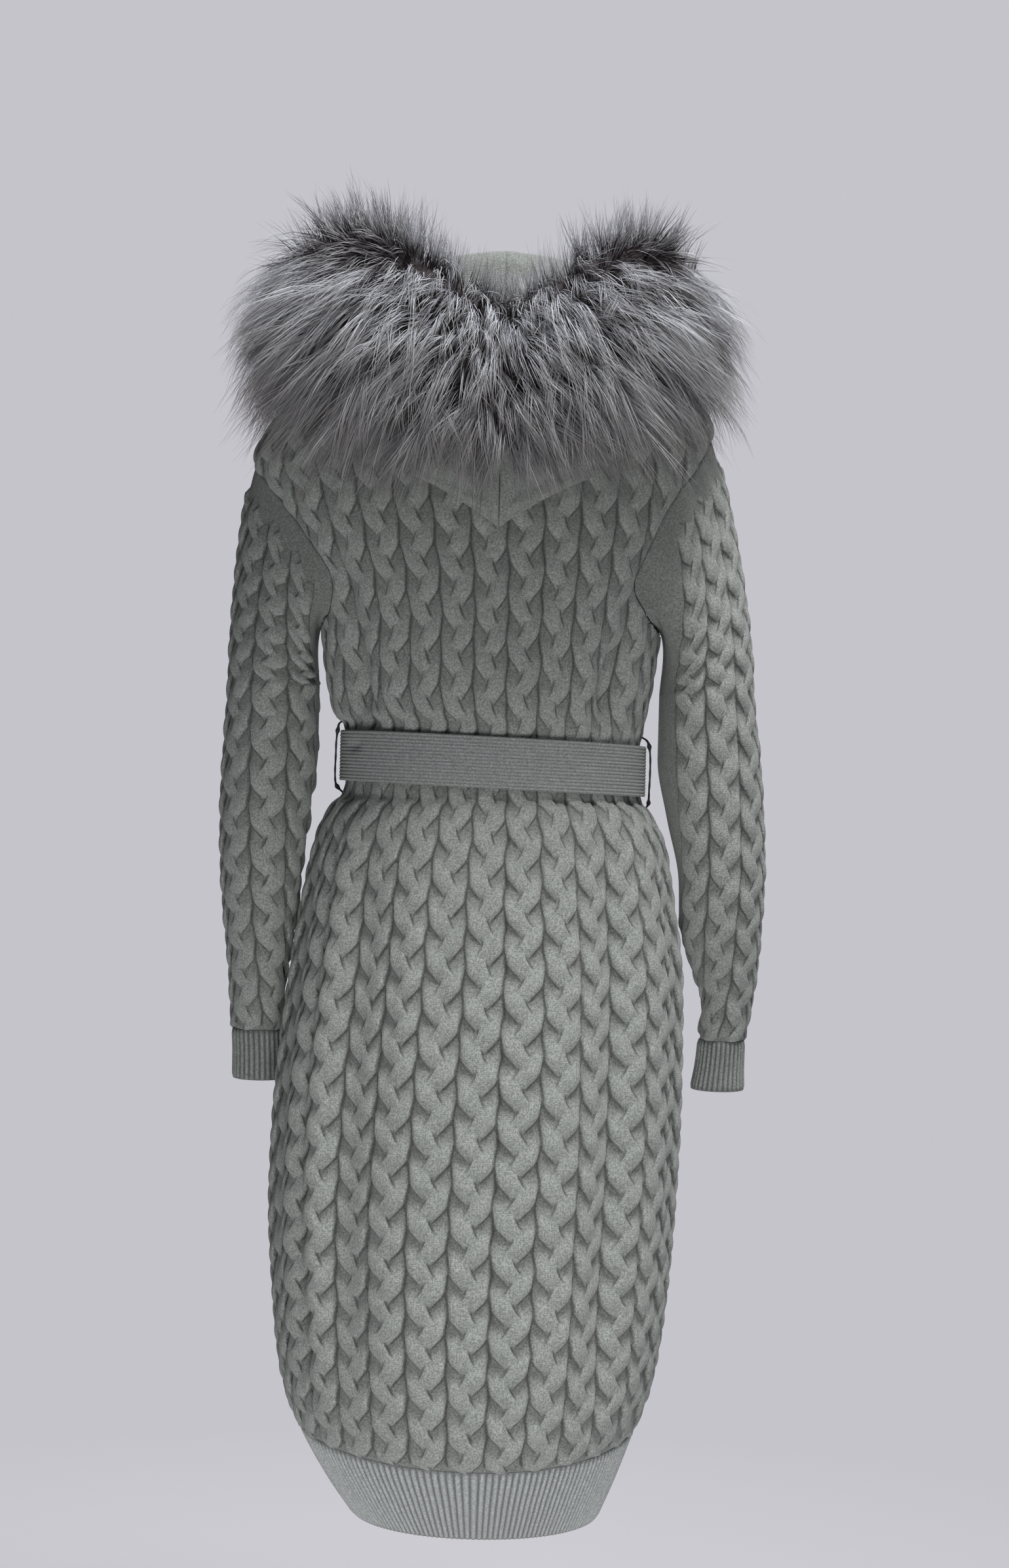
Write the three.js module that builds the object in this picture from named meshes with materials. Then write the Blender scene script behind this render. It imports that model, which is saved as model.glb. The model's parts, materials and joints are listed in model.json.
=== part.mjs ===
// A long hooded cardigan in thick cable knit, filled out as it hangs on a wearer, with nobody in it.
// Its hood lies down the back, edged with a broad fur trim, and a tied belt gathers the waist.
// Millimetres, +Z up. The origin is the middle of the neck opening, level with the tops of the
// shoulder seams. The fronts face -Y, so +X is the wearer's left.
import * as THREE from "three";

const DEGREE = Math.PI / 180;

// Cloth: thickness of each wall, and the gap kept at a seam.
const CABLE_WALL = 5;
const RIB_WALL = 4;
const HOOD_WALL = 3;
const BELT_WALL = 3.5;
const GAP = 0.3;
const SEAM_ANGLE = 0.05; // degrees that each panel stops short of a side or shoulder seam
const RIB_STEP = 0.012; // share of a row left between a rib and the panel above it

// Front bands: half their width, and how far the upper band is raised over the lower one.
const BAND_HALF = 22;
const BAND_RAISE = 4.6;
const RAISE_RUN = 34; // over which the right front climbs to its raised band

// Belt: height, where its middle sits at x = 0, and its slope across the body.
const BELT_HEIGHT = 47;
const BELT_Z = -413;
const BELT_SLOPE = 0.03;
const BELT_SECTION = { left: 144, right: 143, back: 118.8, front: 120.6, square: 2.2 };
const KNOT = { halfWidth: 18, halfHeight: 27, halfDepth: 10, square: 3, y: -130 };

const COLOUR = { knit: 0x8a8e8c, rib: 0x8d918f, belt: 0x868a88, fur: 0x77757a, loop: 0x2b2c2e };

// The body's rings, from the hem edge up to the neck. zLeft and zRight are the heights at the two
// sides, zBack and zFront at the middle of the back and front. left, right, back and front reach
// from the axis to the cloth's outer face, and square is the ring's superellipse power.
const BODY = table(
  ["zLeft", "zRight", "zBack", "zFront", "left", "right", "back", "front", "square"],
  [
    [-1118, -1118, -1118, -1118, 116, 116, 96, 92, 2.1], // hem edge
    [-1078, -1078, -1082, -1078, 143, 132, 128, 120, 2.1],
    [-1032, -1032, -1042, -1036, 168, 148, 152, 140, 2.15], // top of the hem rib
    [-985, -985, -990, -988, 184, 163, 162, 148, 2.2],
    [-915, -915, -918, -915, 193, 173, 167, 152, 2.2],
    [-820, -820, -820, -820, 199, 180, 168, 152, 2.2],
    [-720, -720, -720, -720, 196, 183, 164, 148, 2.2],
    [-620, -620, -620, -620, 186, 182, 156, 142, 2.2],
    [-540, -540, -540, -540, 175, 172, 146, 134, 2.2],
    [-485, -485, -485, -485, 164, 162, 134, 126, 2.2],
    [-456, -456, -456, -456, 151, 147, 124, 118, 2.2],
    [-442, -442, -442, -442, 139.5, 138.5, 114.3, 112, 2.2],
    [-384, -384, -384, -384, 139.5, 138.5, 114, 112, 2.2],
    [-368, -368, -368, -368, 150, 141, 117, 116, 2.2],
    [-335, -335, -335, -335, 158, 147, 119, 121, 2.25],
    [-290, -290, -290, -290, 164, 153, 118, 124, 2.3], // underarm
    [-284, -284, -283, -283, 165, 154, 118, 124, 2.3],
    [-268, -266, -267, -267, 170, 159, 118, 122, 2.3],
    [-240, -236, -240, -240, 180, 167, 117, 119, 2.35],
    [-207, -200, -205, -205, 196, 177, 115, 114, 2.4],
    [-175, -162, -170, -172, 212, 188, 112, 107, 2.4],
    [-150, -126, -141, -147, 226, 196, 107, 100, 2.4],
    [-132, -98, -115, -126, 231, 198, 102, 93, 2.4], // tip of the shoulder
    [-104, -76, -93, -110, 219, 190, 96, 88, 2.4],
    [-74, -54, -70, -99, 190, 171, 89, 84, 2.35],
    [-43, -33, -45, -90, 149, 139, 81, 80, 2.3],
    [-17, -14, -18, -82, 107, 104, 72, 75, 2.2],
    [0, 0, 2, -73, 77, 76, 64, 69, 2.1], // neck seam
  ],
);
const ROW_HEM = 0;
const ROW_RIB_TOP = 2;
const ROW_UNDERARM = 15;
const ROW_SHOULDER = 22;
const ROW_NECK = 27;

// How far the armholes cut into the back and front from the sides, in degrees round the body, on
// each row from the underarm to the tip of the shoulder.
const ARMHOLE = table(
  ["leftBack", "rightBack", "front"],
  [
    [0, 0, 0],
    [15, 19, 13],
    [27, 34, 25],
    [32, 41, 34],
    [26, 39, 33],
    [18, 33, 25],
    [9, 19, 12],
    [0, 0, 0],
  ],
);

// The largest folds: the angle round the body, degrees from the middle to where a fold has nearly
// gone, how deep it goes, and the heights between which it runs, with the length of its ends.
const FOLDS = table(
  ["angle", "spread", "depth", "top", "bottom", "fade"],
  [
    [36, 8, 20, -284, -392, 44], // behind the left arm
    [137, 8, 20, -284, -392, 44], // behind the right arm
    [322, 9, 12, -284, -392, 44],
    [218, 9, 12, -284, -392, 44],
    [52, 9, 13, -440, -1040, 150], // the skirt's long folds at the back
    [129, 8, 14, -440, -1040, 150],
    [18, 6, 8, -440, -960, 140],
    [163, 6, 8, -440, -900, 140],
    [78, 6, 4, -440, -720, 120],
    [104, 6, 4, -440, -680, 120],
    [312, 9, 12, -440, -1030, 150], // and at the front
    [229, 9, 12, -440, -1030, 150],
    [338, 7, 7, -440, -860, 140],
    [201, 7, 7, -440, -900, 140],
  ],
);

// Each sleeve's rings below the cap: heights, the nearest and furthest x of the left and right
// sleeve's outer face, the middle's y, and half the depth from front to back.
const SLEEVE = table(
  ["z", "leftIn", "leftOut", "rightIn", "rightOut", "y", "depth"],
  [
    [-345, 165, 251, 154, 243, -2, 54],
    [-403, 165, 254, 154, 251, -4, 50],
    [-459, 172, 256, 164, 256, -7, 46],
    [-515, 180, 255, 177, 259, -12, 42],
    [-562, 184, 252, 180, 258, -20, 39],
    [-606, 190, 248, 196, 256, -30, 35],
    [-642, 194, 246, 205, 252, -38, 31],
    [-673, 194, 245, 204, 248, -43, 28], // top of the cuff
    [-698, 193, 244, 202, 248, -46, 27],
    [-721, 192, 244, 198, 249, -48, 28], // open end of the cuff
  ],
);
const SLEEVE_CUFF = 8; // the loft's row where the sleeve ends and the cuff begins
const SLEEVE_END = 10;

// The lowered hood's profile as radius and height at three bearings round the neck: from the neck
// seam up the stand, over and down to the pouch's bottom, and up again to the edge with the fur.
const HOOD = {
  front: [[73, -64], [76, -48], [81, -40], [87, -42], [92, -50], [97, -58], [101, -58], [103, -50], [104, -40]],
  side: [[77, 3], [78, 28], [84, 44], [96, 38], [108, 14], [124, -8], [138, -10], [145, 8], [141, 32]],
  back: [[65, 5], [66, 34], [74, 53], [90, 42], [102, -40], [116, -135], [128, -190], [143, -160], [141, -36]],
};
const HOOD_FRONT_BEARING = -78;
const HOOD_SEAM_BEARING = 0.12; // degrees that each half stops short of the middle seam
const HOOD_LIFT = 5; // between the hood and the shoulders and back that it lies on

// The fur's sections round the neck: bearing, the middle's radius and height, half the thickness
// and half the height of the hair's reach, and the lean of its top towards the neck, in degrees.
const FUR = table(
  ["bearing", "radius", "z", "thick", "tall", "lean"],
  [
    [-82, 142, -74, 32, 46, 0],
    [-66, 150, -62, 37, 54, 0],
    [-45, 168, -32, 42, 62, 4],
    [-20, 186, 4, 45, 68, 4],
    [0, 194, 22, 45, 72, 2],
    [22, 200, 6, 45, 82, 8],
    [48, 196, -34, 42, 90, 12],
    [70, 184, -62, 38, 90, 12],
    [90, 183, -72, 37, 90, 12],
  ],
);

function table(columns, rows) {
  return rows.map((row) => Object.fromEntries(columns.map((name, i) => [name, row[i]])));
}

// A row between two rows of a table, along a smooth curve through them all that never swings past
// either of its neighbours.
function between(rows, at) {
  const last = rows.length - 1;
  const i = Math.min(Math.max(Math.floor(at), 0), last - 1);
  const t = at - i;
  const mixed = {};
  for (const name of Object.keys(rows[0])) {
    const [b, c] = [rows[i][name], rows[i + 1][name]];
    const a = i > 0 ? rows[i - 1][name] : 2 * b - c;
    const d = i + 2 <= last ? rows[i + 2][name] : 2 * c - b;
    mixed[name] = curve([a, b, c, d], t);
  }
  return mixed;
}

function curve([a, b, c, d], t) {
  const leave = slope(a, b, c);
  const arrive = slope(b, c, d);
  return b + t * (leave + t * (3 * (c - b) - 2 * leave - arrive + t * (2 * (b - c) + leave + arrive)));
}

function slope(a, b, c) {
  if ((b - a) * (c - b) <= 0) return 0;
  return Math.sign(c - a) * Math.min(Math.abs(c - a) / 2, 2 * Math.abs(b - a), 2 * Math.abs(c - b));
}

function smooth(x) {
  const t = Math.min(Math.max(x, 0), 1);
  return t * t * (3 - 2 * t);
}

function lerp(a, b, t) {
  return a + (b - a) * t;
}

function signedPower(x, power) {
  return Math.sign(x) * Math.abs(x) ** power;
}

// A point on a ring given as reaches to four sides, at an angle in degrees from +X towards +Y.
function ringPoint(ring, angle) {
  const c = Math.cos(angle * DEGREE);
  const s = Math.sin(angle * DEGREE);
  const power = 2 / ring.square;
  const x = (c > 0 ? ring.left : ring.right) * signedPower(c, power);
  const y = (s > 0 ? ring.back : ring.front) * signedPower(s, power);
  return new THREE.Vector3(x, y, 0);
}

function foldDepth(angle, z) {
  let depth = 0;
  for (const fold of FOLDS) {
    const apart = ((angle - fold.angle + 540) % 360) - 180;
    const along = smooth((fold.top - z) / fold.fade) * smooth((z - fold.bottom) / fold.fade);
    depth += fold.depth * Math.exp(-((apart / fold.spread) ** 2)) * along;
  }
  return depth;
}

// The body's outer face at an angle and a fractional row.
function bodyFace(angle, row) {
  const ring = between(BODY, row);
  const point = ringPoint(ring, angle);
  const side = Math.cos(angle * DEGREE) > 0 ? ring.zLeft : ring.zRight;
  const middle = Math.sin(angle * DEGREE) > 0 ? ring.zBack : ring.zFront;
  point.z = lerp(side, middle, Math.sin(angle * DEGREE) ** 2);
  const scale = 1 - foldDepth(angle, point.z) / Math.hypot(point.x, point.y);
  return new THREE.Vector3(point.x * scale, point.y * scale, point.z);
}

// The direction out of the cloth there.
function bodyNormal(angle, row) {
  const around = bodyFace(angle + 0.1, row).sub(bodyFace(angle - 0.1, row));
  const up = bodyFace(angle, row + 1e-3).sub(bodyFace(angle, row - 1e-3));
  return around.cross(up).normalize();
}

// The body's outer face moved out by raise.
function bodyPoint(angle, row, raise = 0) {
  return bodyFace(angle, row).addScaledVector(bodyNormal(angle, row), raise);
}

// The angle on the front at which the body's ring is at x.
function frontAngle(x, row) {
  const ring = between(BODY, row);
  const reach = x > 0 ? ring.left : ring.right;
  return 270 + Math.sign(x) * Math.asin((Math.abs(x) / reach) ** (ring.square / 2)) / DEGREE;
}

// A wall of cloth behind an outer face, as one closed mesh. face(u, v) gives the face for u and v
// from 0 to 1, and closed joins its two sides into a tube. u, v and the way out of the cloth are
// a right-handed set. adjust may turn the way out at an edge.
function wall(face, { across, along, thickness, closed = false, adjust = (normal) => normal }) {
  const step = 1e-3;
  const outer = [];
  const inner = [];
  const ring = closed ? across : across + 1;
  const sample = (u, v) => face(closed ? (u + 1) % 1 : u, v);
  for (let j = 0; j <= along; j++) {
    for (let i = 0; i < ring; i++) {
      const u = i / across;
      const v = j / along;
      const du = sample(u + step, v).sub(sample(u - step, v));
      const dv = sample(u, v + step).sub(sample(u, v - step));
      const normal = adjust(du.cross(dv).normalize(), u, v);
      const point = sample(u, v);
      outer.push(point);
      inner.push(point.clone().addScaledVector(normal, -thickness));
    }
  }
  const count = outer.length;
  const positions = [...outer, ...inner].flatMap((p) => [p.x, p.y, p.z]);
  const faces = [];
  const quad = (a, b, c, d) => faces.push(a, b, c, a, c, d);
  for (let j = 0; j < along; j++) {
    for (let i = 0; i < across; i++) {
      const next = closed ? (i + 1) % across : i + 1;
      const a = j * ring + i;
      const b = j * ring + next;
      quad(a, b, b + ring, a + ring);
      quad(count + a, count + a + ring, count + b + ring, count + b);
    }
  }
  for (let i = 0; i < across; i++) {
    const next = closed ? (i + 1) % across : i + 1;
    const top = along * ring;
    // A tube's first rim is split the same way as the edges of the panels that it is sewn to.
    if (closed && i >= across / 2) quad(next, i, count + i, count + next);
    else quad(i, count + i, count + next, next);
    quad(top + i, top + next, count + top + next, count + top + i);
  }
  for (let j = 0; j < along && !closed; j++) {
    const a = j * ring;
    quad(a, a + ring, count + a + ring, count + a);
    const b = a + across;
    quad(b, count + b, count + b + ring, b + ring);
  }
  return solid(positions, faces);
}

// A geometry with its faces turned so that they point out.
function solid(positions, faces) {
  let volume = 0;
  const at = (i) => new THREE.Vector3(...positions.slice(3 * i, 3 * i + 3));
  for (let i = 0; i < faces.length; i += 3) {
    volume += at(faces[i]).dot(at(faces[i + 1]).cross(at(faces[i + 2])));
  }
  const geometry = new THREE.BufferGeometry();
  geometry.setAttribute("position", new THREE.Float32BufferAttribute(positions, 3));
  geometry.setIndex(volume > 0 ? faces : faces.toReversed());
  geometry.computeVertexNormals();
  return geometry;
}

const cardigan = new THREE.Group();

function add(name, geometry, colour, roughness = 0.95) {
  const material = new THREE.MeshStandardMaterial({ color: colour, roughness, metalness: 0 });
  const mesh = new THREE.Mesh(geometry, material);
  mesh.name = name;
  cardigan.add(mesh);
}

// Part of the body between two angles, each a function of the row, and between two rows.
function bodyPanel(low, high, from, to, { crowd = 0, crowds = 1, raise = () => 0 } = {}) {
  const turns = 2 * Math.PI * crowds;
  return (u, v) => {
    const row = lerp(from, to, v);
    // crowd draws the points together in the middle of each of the crowds equal shares.
    const t = u - (crowd / turns) * Math.sin(turns * (u - 0.5 / crowds));
    const angle = lerp(low(row), high(row), t);
    return bodyPoint(angle, row, raise(angle, row));
  };
}

function armhole(edge, row) {
  const at = row - ROW_UNDERARM;
  return at > 0 && at < ARMHOLE.length - 1 ? between(ARMHOLE, at)[edge] : 0;
}

const leftSeamBack = (row) => armhole("leftBack", row) + SEAM_ANGLE;
const rightSeamBack = (row) => 180 - armhole("rightBack", row) - SEAM_ANGLE;
const leftSeamFront = (row) => 360 - armhole("front", row) - SEAM_ANGLE;
const rightSeamFront = (row) => 180 + armhole("front", row) + SEAM_ANGLE;
const leftBandEdge = (row) => frontAngle(BAND_HALF + GAP / 2, row);
const rightBandEdge = (row) => frontAngle(-BAND_HALF - GAP / 2, row);

// The right front climbs towards its band, which lies over the left one.
function rightFrontRaise(angle, row) {
  const edge = frontAngle(-BAND_HALF, row);
  const foot = frontAngle(-BAND_HALF - RAISE_RUN, row);
  return BAND_RAISE * smooth((angle - foot) / (edge - foot));
}

// Back, fronts and the ribs of the hem.
function buildBody() {
  for (const [piece, rows, along, thickness, colour] of [
    ["panel", [ROW_RIB_TOP, ROW_NECK], ROW_NECK - ROW_RIB_TOP, CABLE_WALL, COLOUR.knit],
    ["hem_rib", [ROW_HEM, ROW_RIB_TOP - RIB_STEP], 2, RIB_WALL, COLOUR.rib],
  ]) {
    const back = bodyPanel(leftSeamBack, rightSeamBack, ...rows, { crowd: 0.45, crowds: 2 });
    const left = bodyPanel(leftBandEdge, leftSeamFront, ...rows, { crowd: 0.3 });
    const right = bodyPanel(rightSeamFront, rightBandEdge, ...rows, { crowd: 0.3, raise: rightFrontRaise });
    add(`${piece}_back`, wall(back, { across: 22, along, thickness }), colour);
    add(`${piece}_front_left`, wall(left, { across: 9, along, thickness }), colour);
    add(`${piece}_front_right`, wall(right, { across: 9, along, thickness }), colour);
  }
}

// The bands that edge the fronts: the left one under, the right one raised over it.
function buildFrontBands() {
  const size = { across: 2, along: ROW_NECK, thickness: RIB_WALL };
  const left = (row) => frontAngle(BAND_HALF - GAP / 2, row);
  const right = (row) => frontAngle(-BAND_HALF + GAP / 2, row);
  const under = bodyPanel(right, left, ROW_HEM, ROW_NECK);
  const over = bodyPanel(right, left, ROW_HEM, ROW_NECK, { raise: () => BAND_RAISE });
  add("front_band_left", wall(under, size), COLOUR.rib);
  add("front_band_right", wall(over, size), COLOUR.rib);
}

// One sleeve's outer face at phi degrees round it (0 at the underarm, 90 at the back, 180 on top
// or outside) and at a row: 0 to 1 is the cap, from the armhole to the first ring below it.
function sleevePoint(side, phi, row) {
  if (row >= 1) return sleeveRing(side, phi, row - 1);
  const rise = (1 - Math.cos(phi * DEGREE)) / 2;
  const into = intoArmhole(side, phi);
  const start = armholePoint(side, phi).addScaledVector(into, GAP);
  const end = sleeveRing(side, phi, 0);
  const leave = new THREE.Vector3(side * lerp(24, 38, rise), 0, lerp(0, -60, rise)).addScaledVector(into, 28);
  const arrive = new THREE.Vector3(0, 0, lerp(-40, -225, rise));
  const t = Math.max(row, 0);
  const point = start.multiplyScalar(2 * t ** 3 - 3 * t ** 2 + 1);
  point.addScaledVector(leave, t ** 3 - 2 * t ** 2 + t);
  point.addScaledVector(end, 3 * t ** 2 - 2 * t ** 3);
  return point.addScaledVector(arrive, t ** 3 - t ** 2);
}

// Where phi falls on the body: the angle and the row of the armhole's edge.
function armholeAt(side, phi) {
  const turn = ((phi + 540) % 360) - 180;
  const row = lerp(ROW_UNDERARM, ROW_SHOULDER, Math.abs(turn) / 180);
  const backEdge = side > 0 ? "leftBack" : "rightBack";
  const arm = turn > 0 ? armhole(backEdge, row) : -armhole("front", row);
  return [side > 0 ? arm : 180 - arm, row];
}

function armholePoint(side, phi) {
  return bodyFace(...armholeAt(side, phi));
}

// The direction along the cloth, square to the armhole's edge, into the opening.
function intoArmhole(side, phi) {
  const along = armholePoint(side, phi + 2).sub(armholePoint(side, phi - 2));
  return along.cross(bodyNormal(...armholeAt(side, phi))).normalize().multiplyScalar(-side);
}

function sleeveRing(side, phi, row) {
  const ring = between(SLEEVE, row);
  const inX = side > 0 ? ring.leftIn : ring.rightIn;
  const outX = side > 0 ? ring.leftOut : ring.rightOut;
  const c = Math.cos(phi * DEGREE);
  const x = side * ((inX + outX) / 2 - (c * (outX - inX)) / 2);
  return new THREE.Vector3(x, ring.y + ring.depth * Math.sin(phi * DEGREE), ring.z);
}

const CAP_STEPS = 5;
const SLEEVE_STEPS = 13;

// The row at a step of the sleeve's mesh: the steps of the cap start small, where it turns over the
// underarm, and the rest are even.
function sleeveRow(step) {
  if (step < CAP_STEPS) return Math.sign(step) * (Math.abs(step) / CAP_STEPS) ** 1.5;
  return lerp(1, SLEEVE_CUFF - RIB_STEP, (step - CAP_STEPS) / (SLEEVE_STEPS - CAP_STEPS));
}

function buildSleeves() {
  for (const [side, name] of [[1, "left"], [-1, "right"]]) {
    // u runs so that the wall's outer side faces out on either arm.
    const at = (u, row) => sleevePoint(side, 360 * (side > 0 ? u : 1 - u), row);
    const sleeveFace = (u, v) => at(u, sleeveRow(v * SLEEVE_STEPS));
    const cuffFace = (u, v) => at(u, lerp(SLEEVE_CUFF, SLEEVE_END, v));
    const round = { across: 2 * (ROW_SHOULDER - ROW_UNDERARM), closed: true };
    const rim = (u) => bodyNormal(...armholeAt(side, 360 * (side > 0 ? u : 1 - u)));
    const adjust = (normal, u, v) => (v === 0 ? rim(u) : normal);
    const sleeve = { ...round, along: SLEEVE_STEPS, thickness: CABLE_WALL, adjust };
    const cuff = { ...round, along: 2, thickness: RIB_WALL };
    add(`sleeve_${name}`, wall(sleeveFace, sleeve), COLOUR.knit);
    add(`cuff_${name}`, wall(cuffFace, cuff), COLOUR.rib);
  }
}

// The hood's outside face: bearing in degrees as the body's angle on the left half, s from 0 at
// the neck seam to 1 at the fur's edge.
function hoodPoint(side, bearing, s) {
  const toSide = smooth((bearing - HOOD_FRONT_BEARING) / -HOOD_FRONT_BEARING);
  const toBack = smooth(bearing / 55);
  const toTip = Math.max(0, bearing / 90) ** 2;
  const profile = HOOD.front.map((front, i) => {
    const side = HOOD.side[i];
    const back = HOOD.back[i];
    const radius = lerp(lerp(front[0], side[0], toSide), back[0], toBack);
    const drop = 0.62 * toBack + 0.38 * toTip;
    return { radius, height: lerp(lerp(front[1], side[1], toSide), back[1], drop) };
  });
  const at = between(profile, s * (profile.length - 1));
  const x = side * at.radius * Math.cos(bearing * DEGREE);
  const y = at.radius * Math.sin(bearing * DEGREE);
  return new THREE.Vector3(x, y, Math.max(at.height, shoulderHeight(x, y) + HOOD_LIFT));
}

// The height of the body's face at x, y above the rows of the shoulders.
function shoulderHeight(x, y) {
  const beyond = (row) => {
    const ring = between(BODY, row);
    const reachX = (x > 0 ? ring.left : ring.right) + HOOD_LIFT;
    const reachY = (y > 0 ? ring.back : ring.front) + HOOD_LIFT;
    return (Math.abs(x) / reachX) ** ring.square + (Math.abs(y) / reachY) ** ring.square - 1;
  };
  if (beyond(ROW_SHOULDER) > 0 === beyond(ROW_NECK) > 0) return -Infinity;
  let [low, high] = [ROW_SHOULDER, ROW_NECK];
  for (let i = 0; i < 20; i++) {
    const middle = (low + high) / 2;
    if (beyond(middle) > 0) high = middle;
    else low = middle;
  }
  const ring = between(BODY, low);
  const turn = Math.atan2(
    signedPower(y / (y > 0 ? ring.back : ring.front), ring.square / 2),
    signedPower(x / (x > 0 ? ring.left : ring.right), ring.square / 2),
  );
  return bodyFace((turn / DEGREE + 360) % 360, low).z;
}

function buildHood() {
  for (const [side, name] of [[1, "left"], [-1, "right"]]) {
    const face = (u, v) => {
      const fromBack = (side > 0 ? Math.max(1 - u, 0) : Math.max(u, 0)) ** 1.5;
      return hoodPoint(side, lerp(90 - HOOD_SEAM_BEARING, HOOD_FRONT_BEARING, fromBack), v);
    };
    // The walls of the two halves meet square at the middle seam.
    const seam = side > 0 ? 1 : 0;
    const adjust = (normal, u) => (u === seam ? normal.setX(0).normalize() : normal);
    add(`hood_${name}`, wall(face, { across: 11, along: 11, thickness: HOOD_WALL, adjust }), COLOUR.knit);
  }
}

// The fur trim, as the plain outline of its hair's reach.
function buildFur() {
  const around = 12;
  const bearings = 26;
  const positions = [];
  const faces = [];
  for (let j = 0; j <= bearings; j++) {
    const t = (2 * j) / bearings - 1; // -1 at one front end, 0 at the middle of the back
    const section = between(FUR, (1 - Math.abs(t)) * (FUR.length - 1));
    const turn = section.bearing * DEGREE;
    const lean = section.lean * DEGREE;
    for (let i = 0; i < around; i++) {
      const phi = (i / around) * 2 * Math.PI;
      const across = section.thick * Math.cos(phi);
      const up = section.tall * Math.sin(phi);
      const radius = section.radius + across * Math.cos(lean) - up * Math.sin(lean);
      const height = section.z + across * Math.sin(lean) + up * Math.cos(lean);
      const side = t < 0 ? 1 : -1;
      positions.push(side * radius * Math.cos(turn), radius * Math.sin(turn), height);
      if (j < bearings) {
        const a = j * around + i;
        const b = j * around + ((i + 1) % around);
        faces.push(a, b, b + around, a, b + around, a + around);
      }
    }
  }
  const end = bearings * around;
  for (let i = 1; i < around - 1; i++) {
    faces.push(0, i + 1, i);
    faces.push(end, end + i, end + i + 1);
  }
  add("fur_trim", solid(positions, faces), COLOUR.fur);
}

function beltPoint(angle, up) {
  const point = ringPoint(BELT_SECTION, angle);
  point.z = BELT_Z + BELT_SLOPE * point.x + up;
  return point;
}

const BELT_END = 10; // where the belt stops, behind its knot, each side of the middle
const TAILS = [
  { name: "belt_tail_left", side: 1, length: 410, start: 2, splay: 34 },
  { name: "belt_tail_right", side: -1, length: 375, start: 2, splay: 30 },
];
const TAIL_TOP = BELT_Z - KNOT.halfHeight + 1.1;
const TAIL_CLEARANCE = 3; // between a tail and the band behind it

function buildBelt() {
  const [start, end] = [BELT_SECTION.left, BELT_SECTION.right].map(
    (reach) => Math.asin((BELT_END / reach) ** (BELT_SECTION.square / 2)) / DEGREE,
  );
  const round = (u, v) => beltPoint(lerp(270 + start, 630 - end, u) % 360, (v - 0.5) * BELT_HEIGHT);
  add("belt", wall(round, { across: 44, along: 1, thickness: BELT_WALL }), COLOUR.belt);
  buildKnot();
  for (const tail of TAILS) {
    const face = (u, v) => {
      const z = TAIL_TOP - (1 - v) * tail.length;
      const x = tail.side * (tail.start + tail.splay * (1 - v)) + tail.side * BELT_HEIGHT * (tail.side > 0 ? u : 1 - u);
      const row = rowAtHeight(z);
      const ring = between(BODY, row);
      const lift = CABLE_WALL + BAND_RAISE + TAIL_CLEARANCE;
      return new THREE.Vector3(x, -ring.front - lift, z);
    };
    add(tail.name, wall(face, { across: 2, along: 12, thickness: BELT_WALL }), COLOUR.belt);
  }
}

// The row of the body whose sides are at a height, for the straight part below the underarm.
function rowAtHeight(z) {
  let row = 0;
  while (BODY[row + 1].zFront < z) row++;
  return row + (z - BODY[row].zFront) / (BODY[row + 1].zFront - BODY[row].zFront);
}

function buildKnot() {
  const around = 16;
  const rings = 8;
  const power = 2 / KNOT.square;
  const positions = [];
  const faces = [];
  for (let j = 1; j < rings; j++) {
    const tilt = (j / rings - 0.5) * Math.PI;
    const wide = Math.cos(tilt) ** power;
    for (let i = 0; i < around; i++) {
      const turn = (i / around) * 2 * Math.PI;
      positions.push(
        KNOT.halfWidth * wide * signedPower(Math.cos(turn), power),
        KNOT.y + KNOT.halfDepth * wide * signedPower(Math.sin(turn), power),
        BELT_Z + KNOT.halfHeight * signedPower(Math.sin(tilt), power),
      );
      if (j < rings - 1) {
        const a = (j - 1) * around + i;
        const b = (j - 1) * around + ((i + 1) % around);
        faces.push(a, b, b + around, a, b + around, a + around);
      }
    }
  }
  const bottom = positions.length / 3;
  positions.push(0, KNOT.y, BELT_Z - KNOT.halfHeight);
  positions.push(0, KNOT.y, BELT_Z + KNOT.halfHeight);
  const last = (rings - 2) * around;
  for (let i = 0; i < around; i++) {
    const next = (i + 1) % around;
    faces.push(bottom, next, i);
    faces.push(bottom + 1, last + i, last + next);
  }
  add("belt_knot", solid(positions, faces), COLOUR.belt);
}

// A thin cord at each side seam that the belt runs through.
const LOOP = { radius: 1.1, y: 8, halfHeight: 35, foot: 0.8, stand: 6.5 };

function buildBeltLoops() {
  for (const [side, name] of [[1, "left"], [-1, "right"]]) {
    const middle = BELT_Z + BELT_SLOPE * side * BELT_SECTION.left;
    const [low, high] = [middle - LOOP.halfHeight, middle + LOOP.halfHeight].map(
      (z) => Math.abs(bodyFace(side > 0 ? 0 : 180, rowAtHeight(z)).x) + LOOP.foot,
    );
    const points = [];
    for (let i = 0; i <= 8; i++) {
      const turn = (i / 8 - 0.5) * Math.PI;
      const x = lerp(low, high, i / 8) + LOOP.stand * Math.cos(turn);
      points.push(new THREE.Vector3(side * x, LOOP.y, middle + LOOP.halfHeight * Math.sin(turn)));
    }
    const section = new THREE.Shape();
    section.absarc(0, 0, LOOP.radius, 0, 2 * Math.PI);
    const path = new THREE.CatmullRomCurve3(points);
    const geometry = new THREE.ExtrudeGeometry(section, { steps: 10, curveSegments: 6, extrudePath: path });
    add(`belt_loop_${name}`, geometry, COLOUR.loop);
  }
}

buildBody();
buildFrontBands();
buildSleeves();
buildHood();
buildFur();
buildBelt();
buildBeltLoops();

export default cardigan;
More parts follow.
